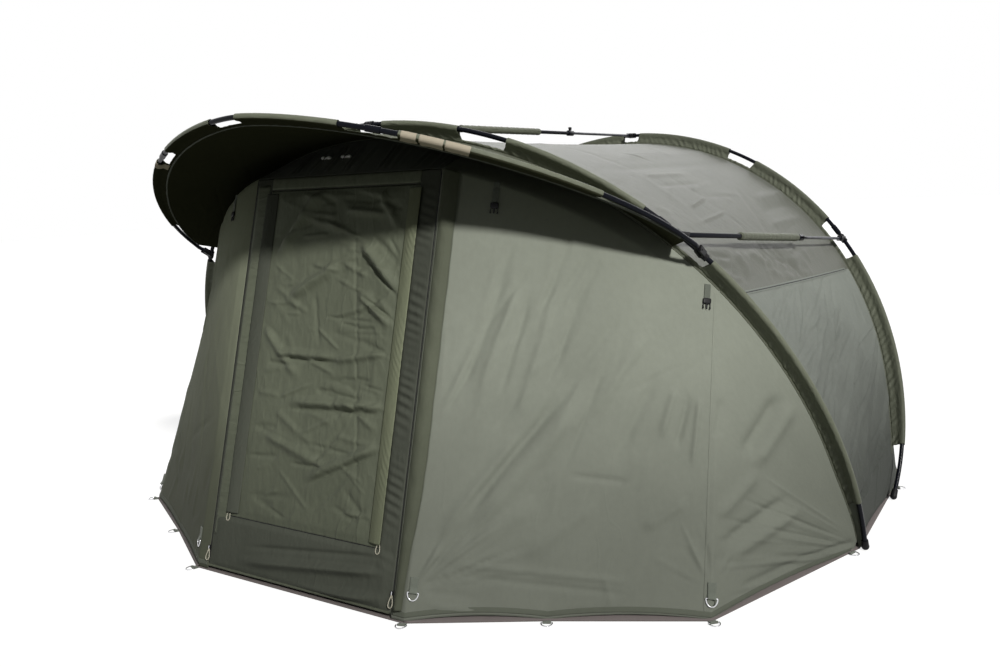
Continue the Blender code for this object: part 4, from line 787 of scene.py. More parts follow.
def lathe(name, origin, axis, profile, material, body, sides=32, **role):
    """A profile of (radius, height) corners turned round an axis."""
    axis = unit(axis)
    helper = UP if abs(axis[2]) < 0.9 else ACROSS
    across = unit(np.cross(axis, helper))
    profile = np.asarray(profile, dtype=float)
    turns = circle(sides)
    ring = turns[:, :1] * across + turns[:, 1:] * np.cross(axis, across)
    grid = np.asarray(origin) + profile[None, :, :1] * ring[:, None] + profile[None, :, 1:] * axis
    faces = grid_faces(sides, len(profile), True, False).reshape(-1, 4)
    angles = np.linspace(0.0, 2.0 * math.pi, sides, endpoint=False)
    uv = np.stack(lattice(angles * profile[:, 0].max(), profile[:, 1]), axis=-1)
    data = fix_shell(mesh_from(name, grid.reshape(-1, 3), faces, uv.reshape(-1, 2)))
    obj = place(name, data, material, body, **role)
    obj.data.set_sharp_from_angle(angle=math.radians(40.0))
    return obj


def pillow(name, centre, axes, size, material, body, squareness=0.28, steps=24, **role):
    """A soft-edged block: a sphere's sines and cosines raised to a small power, along three axes."""
    lat = np.linspace(-math.pi / 2, math.pi / 2, steps)[:, None]
    lon = np.linspace(-math.pi, math.pi, 2 * steps, endpoint=False)[None, :]

    def bent(value):
        return np.sign(value) * np.abs(value) ** squareness

    x = bent(np.cos(lat)) * bent(np.cos(lon)) * size[0] / 2
    y = bent(np.cos(lat)) * bent(np.sin(lon)) * size[1] / 2
    z = bent(np.sin(lat)) * np.ones_like(lon) * size[2] / 2
    x, y, z = np.broadcast_arrays(x, y, z)
    axes = np.asarray(axes, dtype=float)
    grid = np.asarray(centre) + x[..., None] * axes[0] + y[..., None] * axes[1] + z[..., None] * axes[2]
    faces = grid_faces(steps, 2 * steps, False, True).reshape(-1, 4)
    data = mesh_from(name, grid.reshape(-1, 3), faces, np.stack([x, z], axis=-1).reshape(-1, 2))
    return place(name, fix_shell(data), material, body, **role)


print("sweep helpers ready")

# %% [markdown]
# ## Floor and light
# A pale floor, a sun from the front right, a weak fill from behind and a dim sky. The floor shows white
# to the camera and in reflections, and sends little light back up.

# %% Stage
SUN = (57.0, 33.0, 2.95)
FILL = (205.0, 18.0, 0.9)
SKY = (0.03, 0.27)
WHITE = (1.0, 1.0, 1.0)
FLOOR_HALF = 30
FLOOR_DROP = 0.0005
FLOOR_GLOW = 0.72


def seen_rays(tree):
    """1 for camera, glossy and transmission rays, which are to see white; 0 for the light that they carry."""
    path = new_node(tree, "LightPath")
    seen = math_node(tree, "MAXIMUM", path.outputs["Is Camera Ray"], path.outputs["Is Glossy Ray"])
    return math_node(tree, "MAXIMUM", seen, path.outputs["Is Transmission Ray"])


def make_floor():
    """A floor that is white where it is seen and dull where it lights the tent."""
    corners = np.array([[-1, -1, 0], [1, -1, 0], [1, 1, 0], [-1, 1, 0]], float) * FLOOR_HALF
    floor = new_object("floor", mesh_from("floor", corners, np.array([[0, 1, 2, 3]])))
    floor.location.z = -FLOOR_DROP
    material = bpy.data.materials.new("floor_paper")
    material.use_nodes = True
    tree = material.node_tree
    seen = seen_rays(tree)
    colour = mixed(tree, seen, (0.16, 0.165, 0.14), (0.48, 0.48, 0.48))
    feed(tree, tree.nodes["Principled BSDF"], {
        "Roughness": 0.9, "Specular IOR Level": 0.0, "Base Color": colour, "Emission Color": (*WHITE, 1.0),
        "Emission Strength": times(tree, seen, FLOOR_GLOW)})
    floor.data.materials.append(material)


def make_sky():
    """A sky that is brighter overhead, and white where it is seen."""
    world = bpy.data.worlds.new("sky")
    bpy.context.scene.world = world
    world.use_nodes = True
    tree = world.node_tree
    seen = seen_rays(tree)
    height = new_node(tree, "SeparateXYZ", {0: coordinates(tree, "Generated")}).outputs["Z"]
    dome = math_node(tree, "MULTIPLY_ADD", height, SKY[1], SKY[0], clamp=True)
    feed(tree, tree.nodes["Background"], {"Color": (*WHITE, 1.0),
                                          "Strength": math_node(tree, "MAXIMUM", seen, dome)})


def make_lamp(name, placing, spread, colour):
    """A sun at an azimuth from -Y towards +X, a height and a strength; the spread is its width in degrees."""
    azimuth, height = math.radians(placing[0]), math.radians(placing[1])
    lamp = bpy.data.lights.new(name, "SUN")
    lamp.energy = placing[2]
    lamp.angle = math.radians(spread)
    lamp.color = colour
    obj = new_object(name, lamp)
    towards = Vector((math.sin(azimuth) * math.cos(height), -math.cos(azimuth) * math.cos(height), math.sin(height)))
    obj.rotation_euler = towards.to_track_quat("Z", "Y").to_euler()


make_floor()
make_sky()
make_lamp("sun", SUN, 5.0, (1.0, 0.985, 0.95))
make_lamp("fill", FILL, 50.0, WHITE)
bpy.context.scene.view_settings.view_transform = "Standard"
print("stage ready")

# %% [markdown]
# ## Roof, sides and rear wall
# The cover runs from rib to rib, sags a little and shows long shallow folds. Each main fold is a ridge
# along a line that the photograph shows. Seen from the back, small strewn folds take over.

# %% Cover
ROOF_FOLDS = [
    (605, 158, 742, 150, 3.5, 0.004), (600, 170, 720, 164, 3, -0.0022), (640, 176, 690, 174, 2, 0.0025),
    (690, 208, 706, 197, 1.6, 0.003), (700, 223, 727, 211, 1.6, 0.0022), (655, 186, 702, 183, 2.2, -0.0018),
    (752, 200, 792, 190, 5, 0.005), (760, 212, 800, 200, 5, -0.0035), (766, 226, 806, 215, 4, 0.003)]
SIDE_FOLDS = [
    (826, 455, 842, 300, 1.6, -0.006), (836, 470, 858, 330, 2.0, 0.006), (846, 500, 866, 380, 1.5, -0.005),
    (832, 520, 850, 430, 1.5, 0.004), (812, 400, 826, 300, 2.5, 0.004), (858, 500, 868, 410, 1.2, 0.004),
    (790, 290, 796, 350, 2.0, 0.002), (742, 286, 752, 330, 1.5, 0.002), (820, 300, 812, 330, 2.0, 0.003),
    (880, 350, 868, 470, 1.2, -0.004), (889, 380, 876, 480, 1.2, 0.004), (873, 340, 850, 480, 1.5, 0.005),
    (862, 330, 835, 490, 1.5, -0.004), (893, 430, 850, 520, 1.5, -0.004), (886, 430, 862, 504, 1.2, 0.004)]
VENT_FOLDS = random_ridges(6, 44, (700, 246), (810, 282), (62.0, 20.0), (14.0, 34.0), (1.6, 3.0), (0.0014, 0.003))
SIDE_FINE = random_ridges(5, 60, (740, 286), (834, 330), (92.0, 14.0), (20.0, 60.0), (0.7, 1.4), (0.0008, 0.0020))
SIDE_FINE += random_ridges(8, 44, (800, 320), (880, 500), (106.0, 10.0), (30.0, 90.0), (0.6, 1.4), (0.001, 0.0025))
SMALL_FOLDS = random_ridges(7, 50, (600, 120), (800, 240), (-30.0, 40.0), (12.0, 40.0), (1.2, 2.6), (0.0003, 0.0011))
CALM = np.array([(411, 586), (411, 600), (711, 582), (711, 596), (706, 290), (706, 305), (495, 190), (495, 210),
                 (758, 292), (758, 304)])
CALM_PIXELS = 26.0
ROOF_STRENGTH = 2.0
SIDE_STRENGTH = 2.6
SIDE_GRID = {"right": (180, 230), "left": (120, 100)}
REAR_GRID = (190, 100)
COVER_HELD = ["front_rib_sleeve", "rear_rib_sleeve"]


def folded(grid, table, strength):
    """A grid pushed out along its normals by the folds that the photograph shows on it, level at its rim.

    Round the tabs and straps, at the CALM pixels, the folds die away so that the fittings lie on flat cloth.
    """
    rim = np.minimum.outer(*(np.minimum(np.arange(n), np.arange(n)[::-1]) for n in grid.shape[:2]))
    places = on_photo(grid)
    height = strength * ridges(places, table) * smoothstep(rim / 4.0)
    for spot in CALM:
        height = height * smoothstep(np.linalg.norm(places - spot, axis=-1) / CALM_PIXELS)
    out = normals(grid)
    facing = (unit(VIEW_FROM - grid) * out).sum(axis=-1)
    return grid + out * (height * smoothstep(facing * 6.0))[..., None]


def strewn(grid, seed, count, angle, length, width, depth, low=(0.0, 0.0), high=(1.0, 1.0)):
    """A grid pushed out by random folds laid in its own shares, from 0 to 1 along its rows and columns."""
    rows, columns = grid.shape[:2]
    table = random_ridges(seed, count, low, high, angle, length, width, depth)
    shares = np.stack(lattice(np.linspace(0, 1, rows), np.linspace(0, 1, columns)), axis=-1)
    rim = smoothstep(np.minimum(shares, 1.0 - shares).min(axis=-1) * 25.0)
    return grid + normals(grid) * (ridges(shares, table) * rim)[..., None]


def rear_grid(shares, down):
    """The rear wall at shares of the way round its rib and its hem, and of the way down."""
    top = rear_line(share_turn(REAR, shares))
    return between(top, rear_hem(shares * math.pi), down)


def make_cover():
    """Roof and two sides, and the rear wall."""
    shares = np.concatenate([np.linspace(ROOF_SHARE, 0.5, 180), np.linspace(0.5, 1.0 - ROOF_SHARE, 60)[1:]])
    grid = strewn(roof_grid(shares, 175), 11, 40, (40.0, 30.0), (0.1, 0.3), (0.006, 0.02), (0.0008, 0.0025),
                  (0.05, 0.0), (0.95, 1.0))
    grid = folded(grid, ROOF_FOLDS + VENT_FOLDS + SMALL_FOLDS, ROOF_STRENGTH)
    cloth("roof_cloth", grid, "roof", COVER_BEND, "roof_panel", "stretched", COVER_HELD)
    for side, mark in SIDES:
        columns, rows = SIDE_GRID[side]
        grid = roof_grid(np.linspace(0.0, ROOF_SHARE, columns), rows)
        grid = strewn(grid, 12, 30, (80.0, 14.0), (0.2, 0.5), (0.008, 0.02), (0.001, 0.003)) * mark
        if side == "right":
            grid = folded(grid, SIDE_FOLDS + SIDE_FINE, SIDE_STRENGTH)
        cloth("side_cloth_" + side, grid, "side", COVER_BEND, "side_panel_" + side, "stretched", COVER_HELD)
    shares = np.linspace(0.006, 0.994, REAR_GRID[0])
    top, bottom = rear_grid(shares, 0.0), rear_grid(shares, 1.0)
    grid = between(short_of(top, bottom), bottom, np.linspace(0.0, 1.0, REAR_GRID[1])[:, None, None])
    grid = strewn(grid, 13, 60, (4.0, 14.0), (0.2, 0.7), (0.006, 0.02), (0.001, 0.004))
    cloth("rear_cloth", grid, "side", REAR_BEND, "rear_wall", "stretched", ["rear_rib_sleeve"])


make_cover()

# %% [markdown]
# ## Front walls
# Each front wall runs from the rib's foot round the pegged corner to the door. The right one has a sharp
# crease from the hem up to the right, streaks that run up to the peak, and pleats where the pegs pull.

# %% Front walls
WALL_FOLDS = [
    (452, 528, 574, 383, 5, -0.0065), (468, 532, 590, 392, 11, 0.0085), (436, 542, 524, 428, 6, 0.0055),
    (444, 570, 540, 500, 8, 0.005), (520, 560, 600, 500, 8, 0.0045), (565, 475, 634, 483, 2.6, -0.003),
    (443, 563, 640, 583, 3, 0.003), (450, 575, 640, 596, 2.4, -0.0026), (560, 612, 652, 614, 2.6, -0.0032),
    (420, 604, 520, 618, 3, 0.003), (640, 530, 690, 500, 6, 0.004), (458, 402, 512, 258, 5, -0.005),
    (474, 410, 522, 276, 5, 0.0045), (498, 402, 532, 288, 4, -0.0045), (516, 420, 556, 300, 5, 0.005),
    (556, 402, 628, 308, 6, -0.0045), (590, 420, 650, 330, 6, 0.0045), (610, 470, 660, 370, 6, -0.0045),
    (660, 440, 676, 385, 4, 0.005), (676, 450, 690, 392, 3.5, -0.005), (692, 470, 700, 392, 3, 0.0045)]
CORNER_FOLDS = [
    (742, 458, 782, 393, 7, -0.01), (752, 470, 796, 400, 7, 0.008), (718, 547, 792, 494, 5, -0.007),
    (726, 560, 806, 505, 6, 0.007), (716, 520, 760, 470, 6, 0.006), (716, 440, 722, 396, 4, -0.004),
    (788, 562, 862, 540, 3, -0.005), (740, 588, 800, 560, 4, -0.0045)]
FINE_FOLDS = random_ridges(21, 40, (440, 300), (700, 600), (-52.0, 18.0), (30.0, 90.0), (2.0, 4.0), (0.0004, 0.0014))
FINE_FOLDS += fan_ridges(22, 34, (880, 553), (152.0, 214.0), (20.0, 60.0), (80.0, 175.0), (1.6, 4.0), (0.0006, 0.0020))
FINE_FOLDS += fan_ridges(24, 14, (712, 590), (200.0, 310.0), (4.0, 16.0), (30.0, 90.0), (1.4, 3.4), (0.0006, 0.0016))
FINE_FOLDS += fan_ridges(25, 30, (410, 592), (-62.0, 6.0), (4.0, 16.0), (40.0, 170.0), (1.4, 3.4), (0.0008, 0.0024))
FINE_FOLDS += random_ridges(26, 30, (450, 250), (640, 420), (-62.0, 8.0), (60.0, 150.0), (2.4, 5.0), (0.0010, 0.0026))
HEM_ARCH = 0.016
ARCH_HEIGHT = 0.15
WALL_STRENGTH = 1.7
CORNER_PEG = -0.97
WALL_GRID = {"right": (290, 150), "left": (200, 100)}


def arched(grid, shares, pegs):
    """Lift a wall's hem a little between its pegs: a parabola in each span, dying out 0.15 m up the wall."""
    lift = np.zeros(len(shares))
    for low, high in zip(pegs[:-1], pegs[1:]):
        t = np.clip((shares - low) / (high - low), 0.0, 1.0)
        lift = np.maximum(lift, hump(t) * HEM_ARCH * min(1.0, (high - low) * 3.0))
    grid = grid.copy()
    grid[..., 2] += lift[:, None] * (1.0 - smoothstep(grid[..., 2] / ARCH_HEIGHT))
    return grid


def wall_grid(columns, rows):
    """One front wall as a grid: the corner's columns, then those from the seam to the door's edge."""
    heights = np.concatenate([np.linspace(0.0, WALL_BEND, rows), np.linspace(WALL_BEND, 1.0, 8)[1:]])
    corner = np.linspace(0.03, 1.0, columns // 3)[:-1]
    wall = np.linspace(0.0, 1.0, columns - columns // 3)
    grid = np.concatenate([corner_wall(corner[:, None], heights[None]), front_wall(wall[:, None], heights[None])])
    run = np.concatenate([corner - 1.0, wall])
    return arched(grid, run, [CORNER_PEG, 0.0, *(HEM_RUN[1:3] / HEM_RUN[-1])]), run


def make_walls():
    """Both front walls; their folded grids are given back for the seams that lie on them."""
    walls = {}
    for side, mark in SIDES:
        grid, run = wall_grid(*WALL_GRID[side])
        if side == "right":
            grid = folded(grid, WALL_FOLDS + CORNER_FOLDS + FINE_FOLDS, WALL_STRENGTH)
        else:
            grid = strewn(grid, 23, 70, (70.0, 35.0), (0.1, 0.4), (0.006, 0.02), (0.001, 0.004))
        grid = grid * mark
        walls[side] = (run, grid)
        # the left wall takes the darker cloth, a painted shade
        cloth("wall_cloth_" + side, grid, "wall" if side == "right" else "wall_shaded", "front_frame",
              "front_panel_" + side, "stretched", ["front_rib_sleeve"])
    return walls


WALLS = make_walls()

# %% [markdown]
# ## The door
# The outer door is a frame of cloth. In its opening hangs the inner door, slack enough to fold diagonally
# from its zips. Both hang in one plane, so folds may only come forward.

# %% Door panels
DOOR_FOLDS = [
    (279, 258, 331, 180, 5, 0.01), (268, 262, 316, 190, 4, -0.004), (289, 301, 346, 262, 4.5, 0.009),
    (362, 239, 406, 300, 5, 0.009), (372, 232, 412, 280, 3, -0.0035), (359, 291, 396, 331, 4, 0.007),
    (276, 352, 340, 358, 3.5, 0.006), (330, 362, 400, 352, 3.5, 0.0055), (284, 401, 402, 409, 4, 0.0075),
    (304, 481, 396, 440, 5, 0.0085), (262, 430, 330, 470, 5, 0.006), (262, 320, 300, 380, 4, 0.0055),
    (345, 210, 392, 215, 3.5, 0.005), (300, 215, 350, 232, 3.5, 0.0045), (380, 190, 408, 240, 4, 0.005),
    (357, 180, 358, 522, 1.3, -0.0016), (362, 250, 405, 307, 1.6, -0.007), (361, 294, 401, 327, 1.6, -0.006),
    (276, 357, 338, 363, 1.8, -0.0045), (285, 408, 400, 416, 2, -0.005), (300, 487, 392, 448, 2.2, -0.005)]
INNER_FINE = random_ridges(31, 120, (262, 180), (404, 520), (8.0, 34.0), (16.0, 60.0), (1.3, 3.4), (0.0008, 0.0034))
SILL_FOLDS = [
    (232, 560, 392, 574, 4.5, 0.0085), (228, 585, 392, 600, 5, 0.009), (228, 606, 300, 622, 3, 0.006),
    (300, 604, 392, 628, 4, 0.007), (240, 546, 390, 558, 2.5, -0.003), (240, 598, 320, 592, 3, 0.004)]
FOLD_STRENGTH = 2.3
SLACK = 0.0060
PUCKER_LENGTH = 0.028
RUCHE_RIGHT = 0.0052
RUCHE_LEFT = 0.0008
FLY_START = 0.297
FLY_WIDTH = 0.052


def forward_only(grid, table, rim):
    """A grid in the door's plane moved out along it by its folds, never behind it; rim fades the edges."""
    height = ridges(on_photo(grid), table)
    return grid + DOOR_OUT * (np.maximum(FOLD_STRENGTH * height + SLACK, 0.0) * rim)[..., None]


def puckers(x, z, seed):
    """Ruches where a zip's tape holds the cloth short: slanting waves about 28 mm long, uneven along the zip."""
    rng = np.random.default_rng(seed)
    phase = 3.0 * np.sin(z * rng.uniform(5.0, 9.0) + 1.0) + 2.0 * np.sin(z * rng.uniform(13.0, 19.0))
    wave = np.sin(z * 2.0 * math.pi / PUCKER_LENGTH + np.abs(x) * 60.0 + phase)
    return (0.5 + 0.5 * wave) * (0.55 + 0.45 * np.sin(z * rng.uniform(17.0, 23.0)))


def make_outer_door():
    """The frame of cloth with its opening: folds on the sill, ruches along both zips."""
    half = DOOR_HALF - DOOR_GAP
    xs = np.concatenate([np.linspace(-half, -INNER_HALF, 12), np.linspace(-INNER_HALF, INNER_HALF, 120)[1:-1],
                         np.linspace(INNER_HALF, half, 12)])
    zs = np.concatenate([np.linspace(HEM + 0.012, INNER_BOTTOM, 60), np.linspace(INNER_BOTTOM, INNER_TOP, 330)[1:-1],
                         np.linspace(INNER_TOP, DOOR_TOP - 0.003, 9)])
    x, z = lattice(xs, zs)
    rim = smoothstep((half - np.abs(x)) / 0.05) * smoothstep((z - zs[0]) / 0.02) * smoothstep((INNER_BOTTOM - z) / 0.02)
    grid = forward_only(door_point(x, z), SILL_FOLDS, rim)
    band = smoothstep((half - np.abs(x)) / 0.020) * smoothstep((np.abs(x) - INNER_HALF) / 0.020)
    band = band * smoothstep((DOOR_TOP - 0.01 - z) / 0.05) * smoothstep((z - 0.10) / 0.08)
    grid = grid + DOOR_OUT * (np.where(x > 0.0, RUCHE_RIGHT, RUCHE_LEFT) * puckers(x, z, 33) * band)[..., None]
    hole = (np.abs(x) < INNER_HALF + 1e-6) & (z > INNER_BOTTOM - 1e-6) & (z < INNER_TOP + 1e-6)
    keep = ~(hole[:-1, :-1] & hole[1:, 1:] & hole[:-1, 1:] & hole[1:, :-1])
    cloth("outer_door_cloth", grid, "sill", "door", "door_panel", "hung", ["door_header"], keep)


def make_inner_door():
    """The inner door, and the two flaps that cover its zips."""
    half = INNER_HALF - 0.0005
    x, z = lattice(np.linspace(-half, half, 150), np.linspace(INNER_BOTTOM + 0.0005, INNER_TOP - 0.0016, 240))
    rim = smoothstep((half - 0.030 - np.abs(x)) / 0.07)
    rim = rim * smoothstep((z - INNER_BOTTOM) / 0.03) * smoothstep((INNER_TOP - z) / 0.03)
    grid = forward_only(door_point(x, z), DOOR_FOLDS + INNER_FINE, rim)
    cloth("inner_door_cloth", grid, "door", "inner_door", "inner_door_panel", "hung", ["door_panel"])
    x, z = lattice(np.linspace(0.0, 1.0, 14), np.linspace(INNER_BOTTOM + 0.012, INNER_TOP - 0.012, 260))
    lift = 0.0030 + 0.0080 * np.sin(x * 2.2) + 0.0016 * puckers(x * 0.3, z, 34) * smoothstep(x * 2.0)
    for side, mark in SIDES:
        grid = door_point(mark[0] * (FLY_START + FLY_WIDTH * x), z, lift)
        material = "fly_strip" if side == "right" else "sill"
        cloth("inner_flap_" + side, grid, material, "inner_door", None, "hung", ["inner_door_panel"],
              inner=material, thickness=0.0010)


make_outer_door()
make_inner_door()

# %% [markdown]
# ## Header, canopy and storm flap
# Over the door a band of cloth is gathered into ruches. The canopy is smooth and tight, and painted black beneath as
# the shade under the peak. The storm flap is an arched strip along the right zip, narrower towards the ground.

# %% Header, canopy, flap
GATHERS = 22
GATHER_DEPTH = 0.0048
FLAP_WIDTH = 0.056
FLAP_OFFSET = 0.014
FLAP_ARCH = 0.011
HEADER_GAP = 0.0065


def header_grid(columns, rows):
    """The gathered band: cosine gathers whose phase and depth wander a little, from the door's top to the rib."""
    half = DOOR_HALF - DOOR_GAP
    xs = np.linspace(-half, half, columns)
    top = front_line(turn_at_x(FRONT, xs))
    bottom = np.stack([xs, np.full_like(xs, DOOR_TOP_Y), np.full_like(xs, DOOR_TOP)], axis=-1)
    top = top + unit(bottom - top) * HEADER_GAP
    up = np.linspace(0.0, 1.0, rows)
    turn = np.linspace(0.0, 2.0 * math.pi * GATHERS, columns)[:, None]
    turn = turn + 2.4 * np.sin(turn / 5.3 + 2.0 * up[None]) + 1.3 * np.sin(turn / 2.1 + 1.4 * up[None])
    wave = np.cos(turn) * (0.55 + 0.45 * np.sin(turn / 3.7 + 1.0))
    out = pointing(unit(np.cross(top[0] - bottom[0], ACROSS)), DOOR_OUT)
    fade = np.sin(math.pi * (0.12 + 0.76 * up)) * smoothstep(np.minimum(up, 1.0 - up) * 4.0)
    edge = smoothstep((half - np.abs(xs)) / (half / GATHERS))
    depth = GATHER_DEPTH * wave * edge[:, None] * fade[None]
    return between(bottom[:, None], top[:, None], up[None, :, None]) + out * depth[..., None]


def canopy_grid(columns, rows):
    """The peak's cover: straight from the front rib to the peak rib."""
    shares = np.linspace(0.035, 0.965, columns)
    rear = front_line(PEAK_TURN + shares * (math.pi - 2.0 * PEAK_TURN))
    front = peak_line(shares * math.pi)
    rear, front = rear + unit(front - rear) * 0.004, front + unit(rear - front) * 0.0016
    return between(rear[:, None], front[:, None], np.linspace(0.0, 1.0, rows)[None, :, None])


def flap_grid():
    """The storm flap: offset and width measured back from the door's edge, lifted in a low arch."""
    height = np.linspace(0.02, WALL_BEND, 200)[None]
    across = np.linspace(0.0, 1.0, 14)[:, None]
    width = FLAP_WIDTH * (0.5 + 0.5 * smoothstep(height * 3.0))
    lift = 0.003 + FLAP_ARCH * hump(across) + 0.004 * (1.0 - across)
    ripple = 0.0016 * np.sin(height * 61.0 + across * 2.0) * np.sin(height * 23.0 + 1.0) * smoothstep(across * 3.0)
    share = 1.0 - (FLAP_OFFSET + width * across) / HEM_RUN[-1]
    return front_wall(share, height) + DOOR_OUT * (lift + ripple + 0.0016)[..., None]


def make_front_pieces():
    """Header, canopy and flap."""
    cloth("header_cloth", header_grid(GATHERS * 14 + 1, 36), "header", "front_frame", "door_header", "gathered",
          ["front_rib_sleeve"], inner=None)
    grid = strewn(canopy_grid(220, 70), 41, 60, (88.0, 16.0), (0.2, 0.7), (0.004, 0.012), (0.0006, 0.0022))
    # the canopy's inner skin is painted black as the shade under the peak
    cloth("canopy_cloth", grid, "canopy", PEAK_BEND, "peak_canopy", "stretched",
          ["front_rib_sleeve", "peak_rib_sleeve"], inner="black_painted_shade", away_from=(0.0, -0.8, 0.6))
    cloth("storm_flap_cloth", flap_grid(), "flap", "front_frame", "storm_flap", "hung", ["front_panel_right"],
          thickness=0.0012)


make_front_pieces()

# %% [markdown]
# ## Sleeves
# A sleeve is a folded strip sewn to the cover's edge: two layers rise as a web, pass round the pole and
# come back. At every saddle and socket it is cut away. The web is pleated.

# %% Sleeves
SLEEVE_RADIUS = 0.01065
SLEEVE_WRAP = math.radians(120.0)
WEB_HALF = 0.0011
CUT_WIDTH = 0.020
CUT_LEAN = 0.010


def sleeve_turns(spans, steps):
    """Evenly spaced turns along a sleeve, with the ends of its spans among them."""
    return np.unique(np.concatenate([np.linspace(spans[0][0], spans[-1][1], steps), np.ravel(spans)]))


def sleeve_grid(curve, line, spans, steps, pleat, seed):
    """Rows round the pole and stations along it.

    From one web's foot the rows climb to the pole, go 240 degrees round it and come down the other web.
    Pleats push both webs the same way, and the cut ends lean outwards towards the web's foot.
    """
    ends = np.array(spans)
    turns = sleeve_turns(spans, steps)
    arc = np.linspace(-SLEEVE_WRAP, SLEEVE_WRAP, 15)
    web = np.linspace(0.0, 1.0, 9)[:-1]
    lean = np.concatenate([1.0 - web, np.zeros(len(arc)), (1.0 - web)[::-1]])
    near = np.exp(-(((turns[None, None] - ends.T[..., None]) / CUT_WIDTH) ** 2)).sum(axis=1)
    inside = (turns > turns[0] + 1e-6) & (turns < turns[-1] - 1e-6)
    place_at = turns[None, :] + CUT_LEAN * lean[:, None] * ((near[1] - near[0]) * inside)[None, :]
    centre, edge = curve(place_at), line(place_at)
    inward = unit(edge - centre)
    width = np.linalg.norm(edge - centre, axis=-1, keepdims=True)
    side = unit(np.cross(unit(curve(place_at + 1e-4) - curve(place_at - 1e-4)), inward))
    rows = np.zeros_like(centre)
    arc_side, arc_in = SLEEVE_RADIUS * np.sin(arc), -SLEEVE_RADIUS * np.cos(arc)
    for i, up in enumerate(web):
        for j, sign in ((i, -1.0), (len(lean) - 1 - i, 1.0)):
            deep = (width[j] - 0.0026) * (1.0 - up) + arc_in[0] * up
            off = WEB_HALF + (abs(arc_side[0]) - WEB_HALF) * smoothstep((up - 0.55) / 0.45)
            rows[j] = centre[j] + inward[j] * deep + side[j] * (sign * off)
    for j, (aside, inwards) in enumerate(zip(arc_side, arc_in), len(web)):
        rows[j] = centre[j] + side[j] * aside + inward[j] * inwards
    rng = np.random.default_rng(seed)
    run = run_along(curve(turns))
    wave = 0.0
    for _ in range(4):
        slant = run[None, :] + rng.uniform(0.02, 0.07) * lean[:, None]
        height = rng.uniform(0.5, 1.0)
        wave = wave + height * (0.64 - np.abs(np.sin(slant * rng.uniform(45.0, 120.0) + rng.uniform(0.0, 6.0))))
    bow = np.sin(0.5 * np.pi * lean) * (1.0 - 0.6 * lean ** 4)
    rows = rows + side * (pleat * bow[:, None] * wave / 2.0)[..., None]
    ripple = 0.0005 * (1.0 - lean)[:, None] * np.maximum(wave, 0.0) / 2.0
    rows = rows - inward * ripple[..., None]
    middle = (turns[:-1] + turns[1:]) / 2
    keep = np.zeros((len(lean) - 1, len(turns) - 1), dtype=bool)
    keep[[0, 1, -2, -1]] = True
    for low, high in spans:
        keep[:, (middle > low) & (middle < high)] = True
    return rows, keep


def both_sides(spans):
    """Spans of the right half of a rib, and the same on its left half."""
    return [*spans, *[(math.pi - high, math.pi - low) for low, high in reversed(spans)]]


FRONT_SPANS = both_sides([(0.092, 0.712), (0.887, 1.215), (1.336, 1.535)])
REAR_SPANS = both_sides([(0.050, 0.614), (0.760, 1.070), (1.175, 1.535)])
PEAK_SPANS = [(0.492, 1.021), (1.179, 1.546), (1.721, 2.067), (2.182, 2.783)]
FRONT_SLEEVE = (front_points, front_line, FRONT_SPANS, 1200, 0.0060, 51)
REAR_SLEEVE = (rear_points, rear_line, REAR_SPANS, 1200, 0.0070, 52)
PEAK_SLEEVE = (peak_points, peak_line, PEAK_SPANS, 900, 0.0034, 53)


def make_sleeve(name, recipe, material, away_from):
    """One rib's sleeve."""
    grid, keep = sleeve_grid(*recipe)
    return cloth(name + "_sleeve_cloth", grid, material, name + "_frame", name + "_rib_sleeve", "stretched",
                 [name + "_rib_crown"], keep, None, thickness=0.0007, away_from=away_from)


# painted light: the front and peak sleeves wear the lighter copy of the sleeve cloth
make_sleeve("front", FRONT_SLEEVE, "sleeve_painted_light", (0.0, 0.0, 0.4))
make_sleeve("rear", REAR_SLEEVE, "sleeve", (0.0, 0.0, 0.4))
peak_sleeve = make_sleeve("peak", PEAK_SLEEVE, "sleeve_painted_light", (0.0, -0.9, 0.8))
# painted shade: the peak sleeve's faces that look down are painted black
peak_sleeve.data.materials.append(MATERIALS["black_painted_shade"])
looks_down = np.array([face.normal.z for face in peak_sleeve.data.polygons]) < -0.25
peak_sleeve.data.polygons.foreach_set("material_index", looks_down.astype(np.int32))

# %% [markdown]
# ## Poles
# Legs plug into sockets swaged on the crown's ends, and each leg ends in a rubber foot.

# %% Poles
POLE = 0.008
SOCKET = 0.0105
SOCKET_HALF = 0.022
PEAK_JOINTS = (1.086, 2.120)
PEAK_START = 0.130
SMALL_TURN = 0.001
RIB_POLES = (("front", FRONT, front_points, 0.838), ("rear", REAR, rear_points, 0.716))
EYE_SIZE = (0.040, 0.0135, 0.0072)
EYE_OUT = 0.0125


def metre_turn(curve, turn):
    """The turn that one metre of a curve takes at a place."""
    return 2.0 * SMALL_TURN / float(np.linalg.norm(curve(turn + SMALL_TURN) - curve(turn - SMALL_TURN)))


def pole(name, curve, start, end, node, body, sockets=(), steps=160, first=()):
    """A pole between two turns, wider at the turns of its sockets; first adds straight points."""
    edges = []
    for turn in sockets:
        reach = SOCKET_HALF * metre_turn(curve, turn)
        edges += [turn - reach - 1e-4, turn - reach, turn + reach, turn + reach + 1e-4]
    turns = np.concatenate([np.linspace(start, end, steps), edges])
    turns = np.unique(turns[(turns >= min(start, end)) & (turns <= max(start, end))])
    radius = np.full(len(turns), POLE)
    for turn in sockets:
        radius[np.abs(turns - turn) <= SOCKET_HALF * metre_turn(curve, turn) + 1e-6] = SOCKET
    path = curve(turns)
    if len(first):
        if start > end:
            path, radius = path[::-1], radius[::-1]
        path = np.concatenate([np.asarray(first), path])
        radius = np.concatenate([np.full(len(first), POLE), radius])
    obj = sweep(name, path, radius, "pole", body, node=node)
    obj.data.set_sharp_from_angle(angle=math.radians(50.0))


